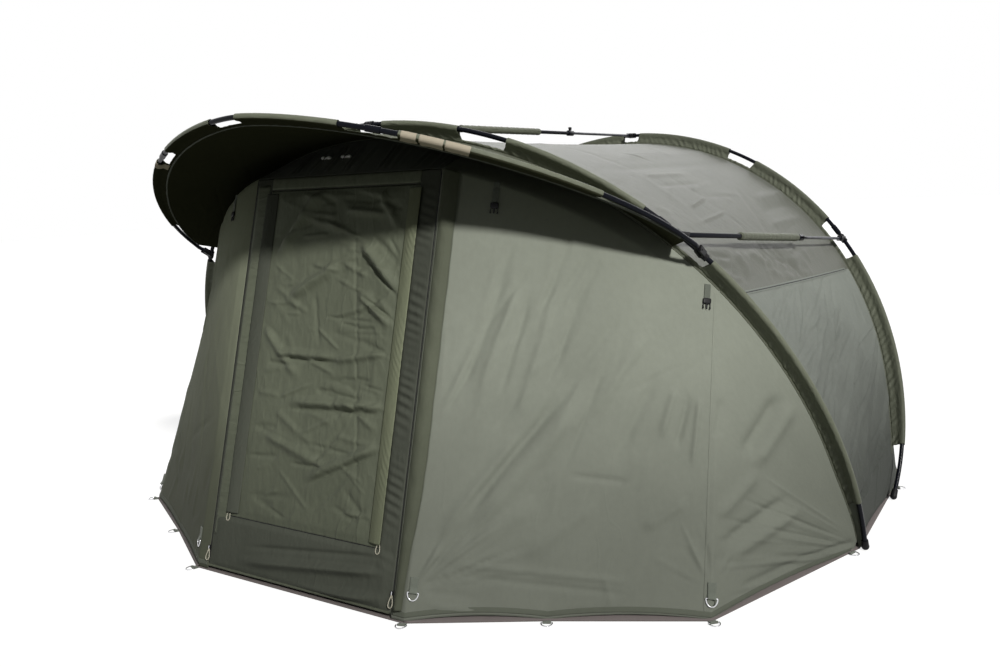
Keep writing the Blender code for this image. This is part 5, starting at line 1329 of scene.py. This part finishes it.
def crown(name, curve, low, high, body, steps):
    """A crown section with its two sockets."""
    reach = SOCKET_HALF * metre_turn(curve, low)
    pole(name + "_crown_pole", curve, low - reach, high + reach, name + "_rib_crown", body, (low, high), steps)


def make_foot(name, curve, start, end, body):
    """A rubber foot on a leg's end: a half ball and a collar."""
    foot, above = curve(np.array([start, start + (end - start) * 0.04]))
    cap = [(0.013 * math.sin(a), 0.013 * math.cos(a)) for a in np.linspace(math.pi, math.pi / 2, 10)]
    cap += [(0.0122, 0.006), (0.0113, 0.026), (0.0106, 0.0275), (0.0, 0.0275)]
    lathe(name, foot, above - foot, cap, "moulding", body, 28)


def make_poles():
    """Front and rear ribs, their rubber feet, and the peak rib with its two eye plates."""
    turns = np.linspace(foot_turn(FRONT, 0.006), 0.10, 40)
    web, rim = front_line(turns), front_points(turns, 0.0085)
    gusset = web + (rim - web) * np.linspace(0.0, 1.0, 5)[:, None, None]
    for side, mark in SIDES:
        surface("foot_gusset_" + side, gusset * mark, "wall", "front_frame", thickness=0.0012)
    for name, rib, curve, joint in RIB_POLES:
        body = name + "_frame"
        low = foot_turn(rib, 0.013)
        crown(name, curve, joint, math.pi - joint, body, 300)
        for side, start, end in (("right", low, joint), ("left", math.pi - low, math.pi - joint)):
            pole(f"{name}_leg_{side}", curve, start, end, f"{name}_rib_{side}_leg", body)
            make_foot(f"{name}_foot_{side}", curve, start, end, body)
    crown("peak", peak_points, *PEAK_JOINTS, "peak_frame", 200)
    starts = (PEAK_START, math.pi - PEAK_START)
    axes = [PEAK_AXIS, np.cross(ACROSS, PEAK_AXIS), ACROSS]
    for (side, mark), start, joint in zip(SIDES, starts, PEAK_JOINTS):
        first = [(PEAK_PIVOT + PEAK_AXIS * d) * mark for d in (0.020, 0.030, 0.037)]
        pole("peak_leg_" + side, peak_points, start, joint, "peak_rib_" + side, "peak_frame", (), 120, first)
        middle = (PEAK_PIVOT + PEAK_AXIS * EYE_OUT) * mark
        pillow("peak_eye_" + side, middle, axes, EYE_SIZE, "pole", "peak_frame", 0.35)


make_poles()
report("poles")

# %% [markdown]
# ## Tension bars
# A bar telescopes: an inner tube slides in an outer one, whose collar carries a clamp knob.

# %% Tension bars
FRONT_SADDLE = 0.798
REAR_SADDLE = 0.681
HINGE_HEIGHT = 0.013
REAR_FOLD = math.radians(12.0)
COLLAR = 0.045
OVERLAP = 0.28
INNER_EYE_SIZE = (0.040, 0.0125, 0.0054)
INNER_EYE_OUT = 0.0118


def bar_ends(front_turn, rear_turn, mark):
    """Pivots of a bar, its direction, its length and its hinge axis, as the solids have them."""
    front = front_points(front_turn) * mark
    rear = rear_points(rear_turn) * mark
    along = unit(rear - front)
    front, rear = front + along * PIVOT_REACH, rear - along * PIVOT_REACH
    y, z = rear[1] - REAR_FOOT, rear[2] - HINGE_HEIGHT
    cosine, sine = math.cos(REAR_FOLD), math.sin(REAR_FOLD)
    folded_to = np.array([rear[0], REAR_FOOT + y * cosine - z * sine, HINGE_HEIGHT + y * sine + z * cosine])
    return front, rear, along, float(np.linalg.norm(rear - front)), unit(np.cross(rear - front, folded_to - front))


def make_tubes(name, ends, mouth):
    """The two tubes of a bar, each with the flat eye that its saddle holds."""
    front, rear, along, length, axis = ends
    collar = mouth - COLLAR
    axes = [along, np.cross(axis, along), axis]
    outer = [(0.0, 0.020), (0.0066, 0.020), (POLE, 0.0222), (POLE, collar), (0.0108, collar + 0.0004),
             (0.0125, collar + 0.0022), (0.0125, mouth - 0.002), (0.0112, mouth), (0.0066, mouth),
             (0.0066, mouth - 0.03)]
    lathe(name + "_outer", front, along, outer, "pole", name + "_outer", 40, node=name + "_outer_tube")
    pillow(name + "_front_eye", front + along * EYE_OUT, axes, EYE_SIZE, "pole", name + "_outer", 0.35)
    inner = [(0.0, mouth - OVERLAP), (0.006, mouth - OVERLAP), (0.006, length - 0.0235), (0.005, length - 0.022),
             (0.0, length - 0.022)]
    lathe(name + "_inner", front, along, inner, "grey_tube", name + "_inner", 40, node=name + "_inner_tube")
    pillow(name + "_rear_eye", rear - along * INNER_EYE_OUT, axes, INNER_EYE_SIZE, "grey_tube", name + "_inner", 0.35)


def make_bar(name, ends, outer_share, wrap_shares, knob_lean):
    """One telescopic bar: tubes, padded wrap and clamp knob."""
    front, _, along, length, _ = ends
    mouth = length * outer_share
    make_tubes(name, ends, mouth)
    start, end = length * wrap_shares[0], length * wrap_shares[1]
    run = np.linspace(start, end, 90)
    soft = smoothstep(np.minimum(run - start, end - run) / 0.007)
    swell = 0.0143 + 0.0006 * np.sin(run * 210.0) * np.sin(run * 57.0 + 1.0)
    wall = [(0.0088, start + 0.003), *np.column_stack([0.0095 + (swell - 0.0095) * soft, run]).tolist(),
            (0.0088, end - 0.003)]
    pad = lathe(name + "_wrap_pad", front, along, wall, "sleeve", name + "_outer", 40, node=name + "_wrap")
    level = unit(np.cross(along, UP))
    lean = math.radians(knob_lean)
    out = level * math.cos(lean) + np.cross(level, along) * math.sin(lean)
    spot = front + along * (mouth - COLLAR / 2)
    head = [(0.0, 0.0063), (0.003, 0.0063), (0.003, 0.0128), (0.0062, 0.0130), (0.007, 0.0138), (0.007, 0.0168),
            (0.0058, 0.0178), (0.0, 0.0178)]
    body = name + "_clamp_knob"
    lathe(name + "_knob_head", spot, out, head, "moulding", body, 36, node=name + "_knob")
    pillow(name + "_knob_wing", spot + out * 0.0224, [along, np.cross(out, along), out], (0.026, 0.006, 0.010),
           "moulding", body, 0.45)


make_bar("top_bar", bar_ends(math.pi / 2, math.pi / 2, 1.0), 0.70, (0.25, 0.55), 90.0)
for (side, mark), knob_lean in zip(SIDES, (0.0, 180.0)):
    make_bar(side + "_bar", bar_ends(FRONT_SADDLE, REAR_SADDLE, mark), 0.685, (0.28, 0.65), knob_lean)
report("tension bars")

# %% [markdown]
# ## Groundsheet
# The tent stands on a coated sheet a few millimetres wider than its hem: rings from its middle out.

# %% Groundsheet
SHEET_MIDDLE = np.array([0.0, 0.2])
SHEET_MARGIN = 0.006
SHEET_HEIGHT = 0.0020
SHEET_THICKNESS = 0.0018


def hem_outline(count):
    """The sheet's plan: pegged corners in front, the super-ellipse behind, evenly spaced, 6 mm outside the hem."""
    right = [DOOR_CORNER[:2], FRONT_PEG[:2], SEAM_CORNER[:2], FRONT_FOOT_HEM[:2]]
    rear = rear_hem(np.linspace(0.0, math.pi, 81))[:, :2]
    left = [(-x, y) for x, y in reversed(right)]
    outline = np.array([*right, *rear, *left], dtype=float)
    outline = outline + unit(outline - SHEET_MIDDLE) * SHEET_MARGIN
    loop = np.vstack([outline, outline[:1]])
    run = run_along(loop)
    even = np.linspace(0.0, run[-1], count, endpoint=False)
    return at_run(np.unique(np.concatenate([even, run[:4], run[-5:-1]])), run, loop)


def make_groundsheet():
    """The sheet under the tent."""
    outline = hem_outline(360)
    shares = np.linspace(0.0, 1.0, 60)[1:]
    plan = SHEET_MIDDLE + (outline[:, None] - SHEET_MIDDLE) * shares[None, :, None]
    bumps = random_ridges(61, 120, (-1.4, -1.0), (1.4, 1.8), (0.0, 90.0), (0.1, 0.5), (0.006, 0.02), (0.0004, 0.0016))
    height = SHEET_HEIGHT + np.maximum(ridges(plan, bumps), 0.0) * smoothstep((1.0 - shares) * 8.0)[None]
    grid = np.concatenate([plan, height[..., None]], axis=-1)
    points = np.vstack([grid.reshape(-1, 3), [[*SHEET_MIDDLE, SHEET_HEIGHT]]])
    faces = grid_faces(len(outline), len(shares), True, False).reshape(-1, 4)
    first = np.arange(len(outline)) * len(shares)
    centre = np.full(len(outline), len(points) - 1)
    faces = np.vstack([faces, np.stack([centre, centre, first, np.roll(first, -1)], axis=-1)])
    data = mesh_from("groundsheet_cloth", points, faced(points, faces, (0.0, 0.2, -2.0)), points[:, :2])
    obj = place("groundsheet_cloth", data, "sheet", "front_frame", "groundsheet")
    thicken(obj, SHEET_THICKNESS)


make_groundsheet()

# %% [markdown]
# ## Seams, bindings and zips
# Panels are joined with flat seams, bound at their edges, and closed with coil zips on dark tape. A coil
# is a sweep whose radius pulses once per tooth, which costs less than a helix.

# %% Ribbons and zips
TOOTH = 0.003
COIL_STEP = 0.001
ZIP_TAPE = 0.0005
BEAD = 0.0024
SLEEVE_BEAD = 0.0031
CANOPY_BEAD = 0.0028
HEM_BEAD = 0.0030
SEAM_LINES = (("front", front_line, 0.06, "sleeve"), ("rear", rear_line, 0.02, "sleeve"),
              ("peak", peak_line, 0.14, "header"))
BEAD_HEIGHT = 0.9992


def ribbon(name, path, across, width, material, body, lift=0.0003, crown=0.0006, thickness=ZIP_TAPE):
    """A strip along a path: its columns spread across it and rise to a low crown, away from the tent's inside."""
    across = unit(np.broadcast_to(across, path.shape))
    out = unit(np.cross(across, np.gradient(path, axis=0)))
    out = out * np.sign((out * (path - INSIDE)).sum(axis=-1, keepdims=True))
    place_at = np.linspace(-0.5, 0.5, 7)
    rise = lift + crown * (1.0 - (2.0 * place_at) ** 2)
    grid = path[:, None] + across[:, None] * (width * place_at)[None, :, None] + out[:, None] * rise[None, :, None]
    uv = np.stack(lattice(lengths(grid, 0), width * place_at), axis=-1)
    surface(name, grid, material, body, thickness=thickness, uv=uv)


def coil(name, path, out, body):
    """Zip teeth along a path: a flat oval whose size pulses every 3 mm; its top stays under the slider."""
    run = run_along(path)
    even = np.arange(0.0, run[-1], COIL_STEP)
    size = 0.0020 + 0.0004 * np.sin(even * 2.0 * math.pi / TOOTH)
    sweep(name, at_run(even, run, path) - out * 0.0004, size, "moulding", body, up=out, section=circle(6) * (1.0, 0.5))


def door_line(x, low, high, steps=60):
    """A vertical line in the door's plane."""
    return door_point(np.full(steps, x), np.linspace(low, high, steps))


def door_level(half, height):
    """A level line across the door."""
    return door_point(np.linspace(-half, half, 60), np.full(60, height))


def door_zip(name, path, across, width, depth, body):
    """A coil zip on its tape, in the door's plane; the name takes the word for each of the two."""
    ribbon(name.format("tape"), path, across, width, "tape", body, -depth, 0.0)
    coil(name.format("teeth"), path, DOOR_OUT, body)


def make_door_zips(side, mark):
    """The upright zips of both doors on one side."""
    edge = door_line(mark[0] * DOOR_HALF, 0.035, DOOR_TOP - 0.006)
    door_zip("door_{}_" + side, edge, ACROSS, 0.022, 0.0030, "front_frame")
    inner = door_line(mark[0] * INNER_HALF, INNER_BOTTOM, INNER_TOP)
    door_zip("inner_{}_" + side, inner, ACROSS, 0.020, 0.0026, "door")


def make_door_seams():
    """The sill's zip, bindings and bands of the two doors, and the storm flap's edges."""
    foot = door_level(0.412, HEM + 0.014)
    sweep("door_foot_roll", foot + DOOR_OUT * 0.001, 0.0042, "door", "door", 12)
    sill = door_level(0.338, INNER_BOTTOM)
    door_zip("sill_{}", sill, DOOR_UP, 0.020, 0.0026, "door")
    ribbon("sill_binding", sill - DOOR_UP * 0.016, DOOR_UP, 0.015, "binding", "door", 0.0014, 0.0004)
    band = door_level(0.336, (INNER_TOP + DOOR_TOP) / 2 + 0.001)
    ribbon("door_top_band", band, DOOR_UP, 0.040, "door", "door", 0.0006, 0.0012)
    ribbon("door_band_left", door_line(-0.376, 0.12, 1.31, 120), ACROSS, 0.060, "door", "door", 0.0012, 0.0012)
    flap = flap_grid()
    for name, row in (("flap_edge", -1), ("flap_edge_door", 0)):
        sweep(name, flap[row] + DOOR_OUT * 0.0003, 0.0014, "binding", "front_frame", 8)


def make_wall_seam(side):
    """The upright seam of one front wall."""
    run, grid = WALLS[side]
    column = int(np.searchsorted(run, 0.016))
    seam = grid[column, 1:-3]
    ribbon("wall_seam_" + side, seam, grid[column + 1, 1:-3] - seam, 0.008, "wall", "front_frame", 0.0002, 0.0006,
           0.0003)


def make_wall_edges(side, mark):
    """The bound hem and the top beads of one front wall."""
    grid = wall_grid(*WALL_GRID["right"])[0][3:-1] * mark
    ribbon("wall_hem_" + side, grid[:, 2], grid[:, 4] - grid[:, 2], 0.016, "binding", "front_frame", 0.0012, 0.0006)
    for name, wall, shares in (("wall_top_", front_wall, np.linspace(0.002, 0.94, 160)),
                               ("corner_top_", corner_wall, np.linspace(0.04, 0.998, 120))):
        sweep(name + side, wall(shares, BEAD_HEIGHT) * mark, BEAD, "sleeve", "front_frame", 8)


def make_vent(side, mark):
    """The vent's zip, on the seam between roof and side."""
    seam = roof_grid(np.array([ROOF_SHARE - 0.004, ROOF_SHARE, ROOF_SHARE + 0.004]), 90)
    up = (seam[:, 2] - seam[:, 0]) * mark
    ribbon("vent_tape_" + side, seam[3:-3, 1] * mark, up[3:-3], 0.016, "side", COVER_BEND, 0.0016, 0.0004, 0.0004)
    out = unit(np.cross(seam[-1, 1] - seam[0, 1], seam[40, 2] - seam[40, 0])) * mark
    out = pointing(out, seam[40, 1] * mark - INSIDE)
    coil("vent_teeth_" + side, seam[4:-4, 1] * mark + out * 0.0022, out, COVER_BEND)


def make_cover_seams():
    """Beads under the sleeves, the rear wall's seams and its hem."""
    for name, line, low, material in SEAM_LINES:
        sweep(name + "_sleeve_seam", line(np.linspace(low, math.pi - low, 420)), SLEEVE_BEAD, material,
              name + "_frame", 8, slot="sleeve_fabric")
    sweep("canopy_rear_seam", canopy_grid(200, 3)[:, 0], CANOPY_BEAD, "sleeve", "front_frame", 8)
    for number, share in enumerate((0.22, 0.40, 0.60, 0.78)):
        seam = rear_grid(np.array([share]), np.linspace(0.004, 0.996, 70)[:, None])
        across = ACROSS if 0.3 < share < 0.7 else (0.5, -0.8, 0.0)
        ribbon(f"rear_seam_{number}", seam, across, 0.013, "binding", REAR_BEND, 0.0022, 0.0006)
    hem = rear_hem(np.linspace(0.012, 0.988, 240) * math.pi)
    sweep("rear_hem_edge", hem + UP * HEM_BEAD, HEM_BEAD, "binding", "front_frame", 8)


for side, mark in SIDES:
    make_door_zips(side, mark)
    make_wall_seam(side)
    make_vent(side, mark)
    make_wall_edges(side, mark)
make_door_seams()
make_cover_seams()
report("seams and zips")

# %% [markdown]
# ## Ground strip, pegging tabs and rings
# Under the arched hem a pinkish strip of the groundsheet turns up. Webbing tabs reach out at each pegging
# place with a D ring in the fold.

# %% Ground strip, tabs, rings
RING_HALF = 0.017
RING_DEPTH = 0.024
RING_WIRE = 0.002
TAB_HALF = 0.0125
WEBBING = 0.0012
PEG_REACH = 0.020
HEM_TAB_LENGTH = 0.036
WALL_TAB_LENGTH = 0.045
WALL_TAB_HEIGHT = 0.060
WALL_TABS = (("seam", 0.0), ("door", 0.926))


def smoothed(loop, reach):
    """A closed loop whose corners are eased by a moving average."""
    return sum(np.roll(loop, k, axis=0) for k in range(-reach, reach + 1)) / (2.0 * reach + 1.0)


def ring_path(origin, across, out, up, height):
    """A D: half circle 34 mm wide and 24 mm deep below its bar."""
    angles = np.linspace(0.0, -math.pi, 60)
    arc = np.stack([RING_HALF * np.cos(angles), RING_DEPTH * np.sin(angles)], axis=-1)
    bar = np.stack([np.linspace(-RING_HALF, RING_HALF, 42)[1:-1], np.zeros(40)], axis=-1)
    loop = smoothed(np.vstack([arc, bar]), 2)
    return origin + loop[:, :1] * across + loop[:, 1:] * up + height * out


def tab_grid(origin, across, out, up, length, standoff, wire=RING_WIRE):
    """Webbing folded round a ring's bar: up behind, round below, and up in front; rows follow the section."""
    wrap = wire + WEBBING
    back = standoff + WEBBING / 2
    section = [(back, z) for z in np.linspace(length, wrap, 6)]
    turns = np.radians(np.linspace(180.0, 345.0, 20))
    section += [(back + wrap + wrap * math.cos(turn), wrap * math.sin(turn)) for turn in turns]
    section += [(back + 0.0013 + 0.0052 * math.exp(-((z / 0.008) ** 2)), z) for z in np.linspace(0.002, length, 14)]
    section = np.array(section)
    xs = np.linspace(-TAB_HALF, TAB_HALF, 9)
    return origin + section[:, None, :1] * out + section[:, None, 1:] * up + xs[None, :, None] * across


def wall_place(share, height, mark):
    """A place on the front wall and its directions: across, out, up."""
    here = front_wall(share, height)
    up = unit(front_wall(share, height + 0.01) - here)
    level = front_wall(max(share - 0.01, 0.0), height) - front_wall(min(share + 0.01, 1.0), height)
    out = pointing(unit(np.cross(level, up)), FORWARD) * mark
    up = up * mark
    return here * mark, np.cross(out, up), out, up


def webbing_piece(name, grid, body, middle, node=None):
    """Webbing 1.2 mm thick through a grid of points."""
    obj = surface(name, grid, "webbing", body, node, thickness=WEBBING, away_from=middle)
    obj.modifiers["thickness"].offset = 0.0


def make_hem_tabs():
    """A tab and a ring at each pegging place round the hem, facing away from the tent."""
    foot, rear_foot, rear = FRONT_FOOT_HEM, rear_hem(0.02 * math.pi), rear_hem(0.31 * math.pi)
    places = [(DOOR_CORNER, (0.35, -1.0)), (FRONT_PEG, (0.5, -1.0)), (SEAM_CORNER, (1.0, -1.0)),
              ((foot[0] - 0.024, foot[1] - 0.052), (1.0, -0.35)), ((rear_foot[0], rear_foot[1] + 0.039), (1.0, 0.35)),
              (rear, (1.0, 1.0))]
    for number, (spot, away) in enumerate(places):
        for side, mark in SIDES:
            outward = unit(np.array([*away, 0.0])) * mark
            end = np.array([spot[0], spot[1], 0.0]) * mark + outward * PEG_REACH
            across = np.cross(UP, -outward)
            grid = tab_grid(end, across, UP, -outward, HEM_TAB_LENGTH, -0.0006, 0.0018)
            grid[..., 2] = np.maximum(grid[..., 2], 0.0007)
            webbing_piece(f"hem_tab_{number}_{side}", grid, "front_frame", end + UP * 0.003)
            loop = ring_path(end, across, UP, -outward, 0.0026)
            sweep(f"hem_ring_{number}_{side}", loop, RING_WIRE, "nickel", "front_frame", 12, True)


def make_wall_tabs():
    """The tabs low on the front walls, whose rings hang free."""
    for name, share in WALL_TABS:
        for side, mark in SIDES:
            origin, across, out, rise = wall_place(share, WALL_TAB_HEIGHT, mark)
            grid = tab_grid(origin, across, out, rise, WALL_TAB_LENGTH, 0.0008)
            webbing_piece(f"{name}_tab_cloth_{side}", grid, "front_frame", origin + out * 0.0045, f"{name}_tab_{side}")
            loop = ring_path(origin, across, out, rise, 0.0046)
            sweep(f"{name}_d_ring_{side}", loop, RING_WIRE, "nickel", f"{name}_ring_{side}_body", 14, True,
                  node=f"{name}_ring_{side}")


def make_ground_strip():
    """The groundsheet's edge, turned up behind the front walls' hem."""
    outline = hem_outline(500)
    outline = outline[(outline[:, 1] < 0.02) & (outline[:, 0] > 0.466)]
    outline = outline[np.argsort(np.arctan2(outline[:, 0], -(outline[:, 1] - 0.62)))]
    inward = unit(np.array([0.0, 0.25]) - outline)
    rows = np.linspace(0.0, 1.0, 8)
    plan = outline[:, None] + inward[:, None] * (0.001 + 0.026 * rows)[None, :, None]
    waver = 0.0012 * np.sin(run_along(outline) * 70.0)[:, None] * rows[None, :]
    height = 0.0028 + 0.0175 * rows[None, :] + waver
    grid = np.concatenate([plan, height[..., None]], axis=-1)
    for side, mark in SIDES:
        surface("ground_strip_" + side, grid * mark, "sheet", "front_frame", thickness=0.0006, inner="sheet",
                away_from=(0.0, 0.2, 0.4))


make_hem_tabs()
make_wall_tabs()
make_ground_strip()
report("tabs and rings")

# %% [markdown]
# ## Straps, buckles, sliders and pulls
# Two pairs of short straps end in the male half of a side-release buckle, whose sprung arms bow outwards.
# Each zip slider carries a drop of pale cord.

# %% Straps and sliders
STRAP_HALF = 0.010
BUCKLE_PARTS = (("body", 0.055, (0.026, 0.0070, 0.018)), ("guide", 0.070, (0.005, 0.003, 0.020)),
                ("bar", 0.048, (0.024, 0.0062, 0.0035)))
PULL_DROP = 0.022
PULL_WIDTH = 0.008


def strap_and_buckle(name, spot, standoff, body, node=None):
    """A strap hanging 46 mm down the wall, with the buckle's body, guide and two arms at its end."""
    origin, across, out, up = spot
    z = np.linspace(-0.001, -0.047, 30)
    y = standoff + 0.0009 + 0.0012 * np.sin(np.linspace(0.0, math.pi, 30))
    xs = np.linspace(-STRAP_HALF, STRAP_HALF, 7)
    grid = origin + y[:, None, None] * out + z[:, None, None] * up + xs[None, :, None] * across
    webbing_piece(name + "_webbing", grid, body, origin - out, node)
    middle = origin + out * (standoff + 0.0035)
    for part, drop, size in BUCKLE_PARTS:
        pillow(f"{name}_{part}", middle - up * drop, [across, out, up], size, "moulding", body, 0.4, 16)
    t = np.linspace(0.0, 1.0, 20)
    aside = 0.0090 + 0.0026 * np.sin(t * math.pi * 0.8)
    thick = 0.0012 + 0.0010 * smoothstep((t - 0.6) * 4.0)
    for sign, label in ((1.0, "a"), (-1.0, "b")):
        path = middle - up * (0.060 + 0.020 * t)[:, None] + across * (sign * aside)[:, None]
        sweep(f"{name}_arm_{label}", path, thick, "moulding", body, 10, up=out)


def slider_and_pull(name, centre, up, out, lift, node):
    """A slider body with its bridge, and a drop-shaped loop of cord hanging from it."""
    side = np.cross(out, up)
    axes = [side, out, up]
    body = node + "_body"
    middle = centre + out * (lift + 0.002)
    pillow(name + "_body", middle, axes, (0.011, 0.004, 0.015), "moulding", body, 0.45, 16, node=node)
    pillow(name + "_bridge", middle + out * 0.0022, axes, (0.003, 0.0022, 0.011), "nickel", body, 0.5, 12)
    angles = np.linspace(0.0, 2.0 * math.pi, 64, endpoint=False)
    drop = PULL_DROP * (1.0 - np.cos(angles))
    wide = PULL_WIDTH * np.sin(angles) * (1.0 - np.cos(angles)) / 1.3
    path = middle + drop[:, None] * -up + wide[:, None] * side + out * (0.0003 + 0.10 * drop)[:, None]
    sweep(name + "_cord", smoothed(path, 1), 0.0015, "cord", body, 10, True, up=out)
    knot = middle - up * 0.013 + out * 0.0004
    pillow(name + "_knot", knot, axes, (0.0066, 0.0040, 0.0062), "cord", body, 0.9, 12)


def make_vent_slider(side, mark):
    """The slider on a vent, whose up looks along the panel."""
    grid = roof_grid(np.array([ROOF_SHARE - 0.01, ROOF_SHARE, ROOF_SHARE + 0.01]), 21)
    along, rise = unit(grid[3, 1] - grid[2, 1]), unit(grid[2, 2] - grid[2, 0])
    out = pointing(unit(np.cross(along, rise)), grid[2, 1] - INSIDE)
    up = unit(np.cross(out * mark, along * mark) * mark[0])
    slider_and_pull("vent_zip_" + side, grid[2, 1] * mark, up, out * mark, 0.0040, "vent_slider_" + side)


def make_fittings(side, mark):
    """Straps, sliders and pulls on one side."""
    strap_and_buckle("peak_strap_" + side, wall_place(0.055, 0.985, mark), 0.0004, "front_frame")
    spot = wall_place(0.80, 0.944, mark)
    strap_and_buckle("tie_strap_" + side, spot, 0.0015, f"door_strap_{side}_body", "door_strap_" + side)
    origin, across, out, up = spot
    pillow("tie_strap_root_" + side, origin + up * 0.010 + out * 0.0006, [across, out, up], (0.020, 0.0016, 0.019),
           "webbing", "front_frame", 0.15, 14)
    slider_and_pull("door_zip_" + side, door_point(mark[0] * DOOR_HALF, 0.075), DOOR_UP, DOOR_OUT, 0.0038,
                    "door_slider_" + side)
    slider_and_pull("inner_zip_" + side, door_point(mark[0] * INNER_HALF, INNER_BOTTOM + 0.027), DOOR_UP, DOOR_OUT,
                    0.0009, "inner_slider_" + side)
    make_vent_slider(side, mark)


for side, mark in SIDES:
    make_fittings(side, mark)
report("straps and sliders")

# %% [markdown]
# ## Small things on header and peak
# Two toggles on elastic hold the rolled door, and pale patches wrap the peak sleeve: its own grid over a
# short span, moved out by its normals.

# %% Header and peak details
TOGGLE_HALF = [(0.0, 0.022), (0.0040, 0.022), (0.0060, 0.018), (0.0066, 0.011), (0.0046, 0.004)]
TOGGLE = [(radius, -place_at) for radius, place_at in TOGGLE_HALF] + TOGGLE_HALF[::-1]
PATCH_LIFT = 0.0011
PATCH_SPANS = ((0.842, 0.905), (0.909, 0.971), (0.975, 1.016), (2.187, 2.225))


def sleeve_patch(name, low, high):
    """A wrap of pale tape over part of the peak sleeve."""
    turns = sleeve_turns(PEAK_SLEEVE[2], PEAK_SLEEVE[3])
    grid = sleeve_grid(*PEAK_SLEEVE)[0][1:-1, (turns >= low) & (turns <= high)]
    middle = (grid + grid[::-1]) / 2
    out = outward_of(grid)
    half = len(grid) // 2
    sign = np.sign(((grid[:half] - middle[:half]) * out[:half]).sum())
    surface(name, grid + out * sign * PATCH_LIFT, "patch", "peak_frame", away_from=middle.mean(axis=(0, 1)))


def make_toggle(number, column):
    """A toggle bar on an elastic loop, in front of one column of the header."""
    up = unit(column[-1] - column[1])
    out = pointing(unit(np.cross(up, ACROSS)), DOOR_OUT)
    spot = column[1] + out * 0.0045
    # the toggle's near-white nylon is partly a painted highlight
    lathe(f"toggle_{number}", spot, ACROSS, TOGGLE, "nylon_and_painted_highlight", "front_frame", 24)
    t = np.linspace(0.0, 1.0, 40)
    hang = spot + out * (0.0055 * np.sin(t * math.pi))[:, None] + up * (0.010 - 0.030 * t)[:, None]
    sweep(f"toggle_elastic_{number}", hang, 0.0014, "black_cord", "front_frame", 8)


header = header_grid(45, 3)
for number, share in enumerate((-0.38, -0.12)):
    make_toggle(number, header[round(22 * (1.0 + share))])
for number, (low, high) in enumerate(PATCH_SPANS):
    sleeve_patch(f"peak_patch_{number}", low, high)
report("toggles and patches")

# %% [markdown]
# ## Finishing
# The saddles and peak brackets kept from the solids take a moulded finish and a fine bevel.

# %% Finish
SOFT_EDGE = 0.0007


def dress_nodes():
    """Give every saddle and peak bracket that still shows its finish and softened edges."""
    for obj in [o for o in bpy.context.scene.objects if o.type == "MESH" and not o.hide_render]:
        if obj.name.endswith("_saddle") or obj.name.startswith("peak_bracket"):
            obj.data.materials.clear()
            obj.data.materials.append(MATERIALS["moulding"])
            soft = obj.modifiers.new("soft_edges", "BEVEL")
            soft.width = SOFT_EDGE
            soft.segments = 2
            soft.limit_method = "ANGLE"


dress_nodes()
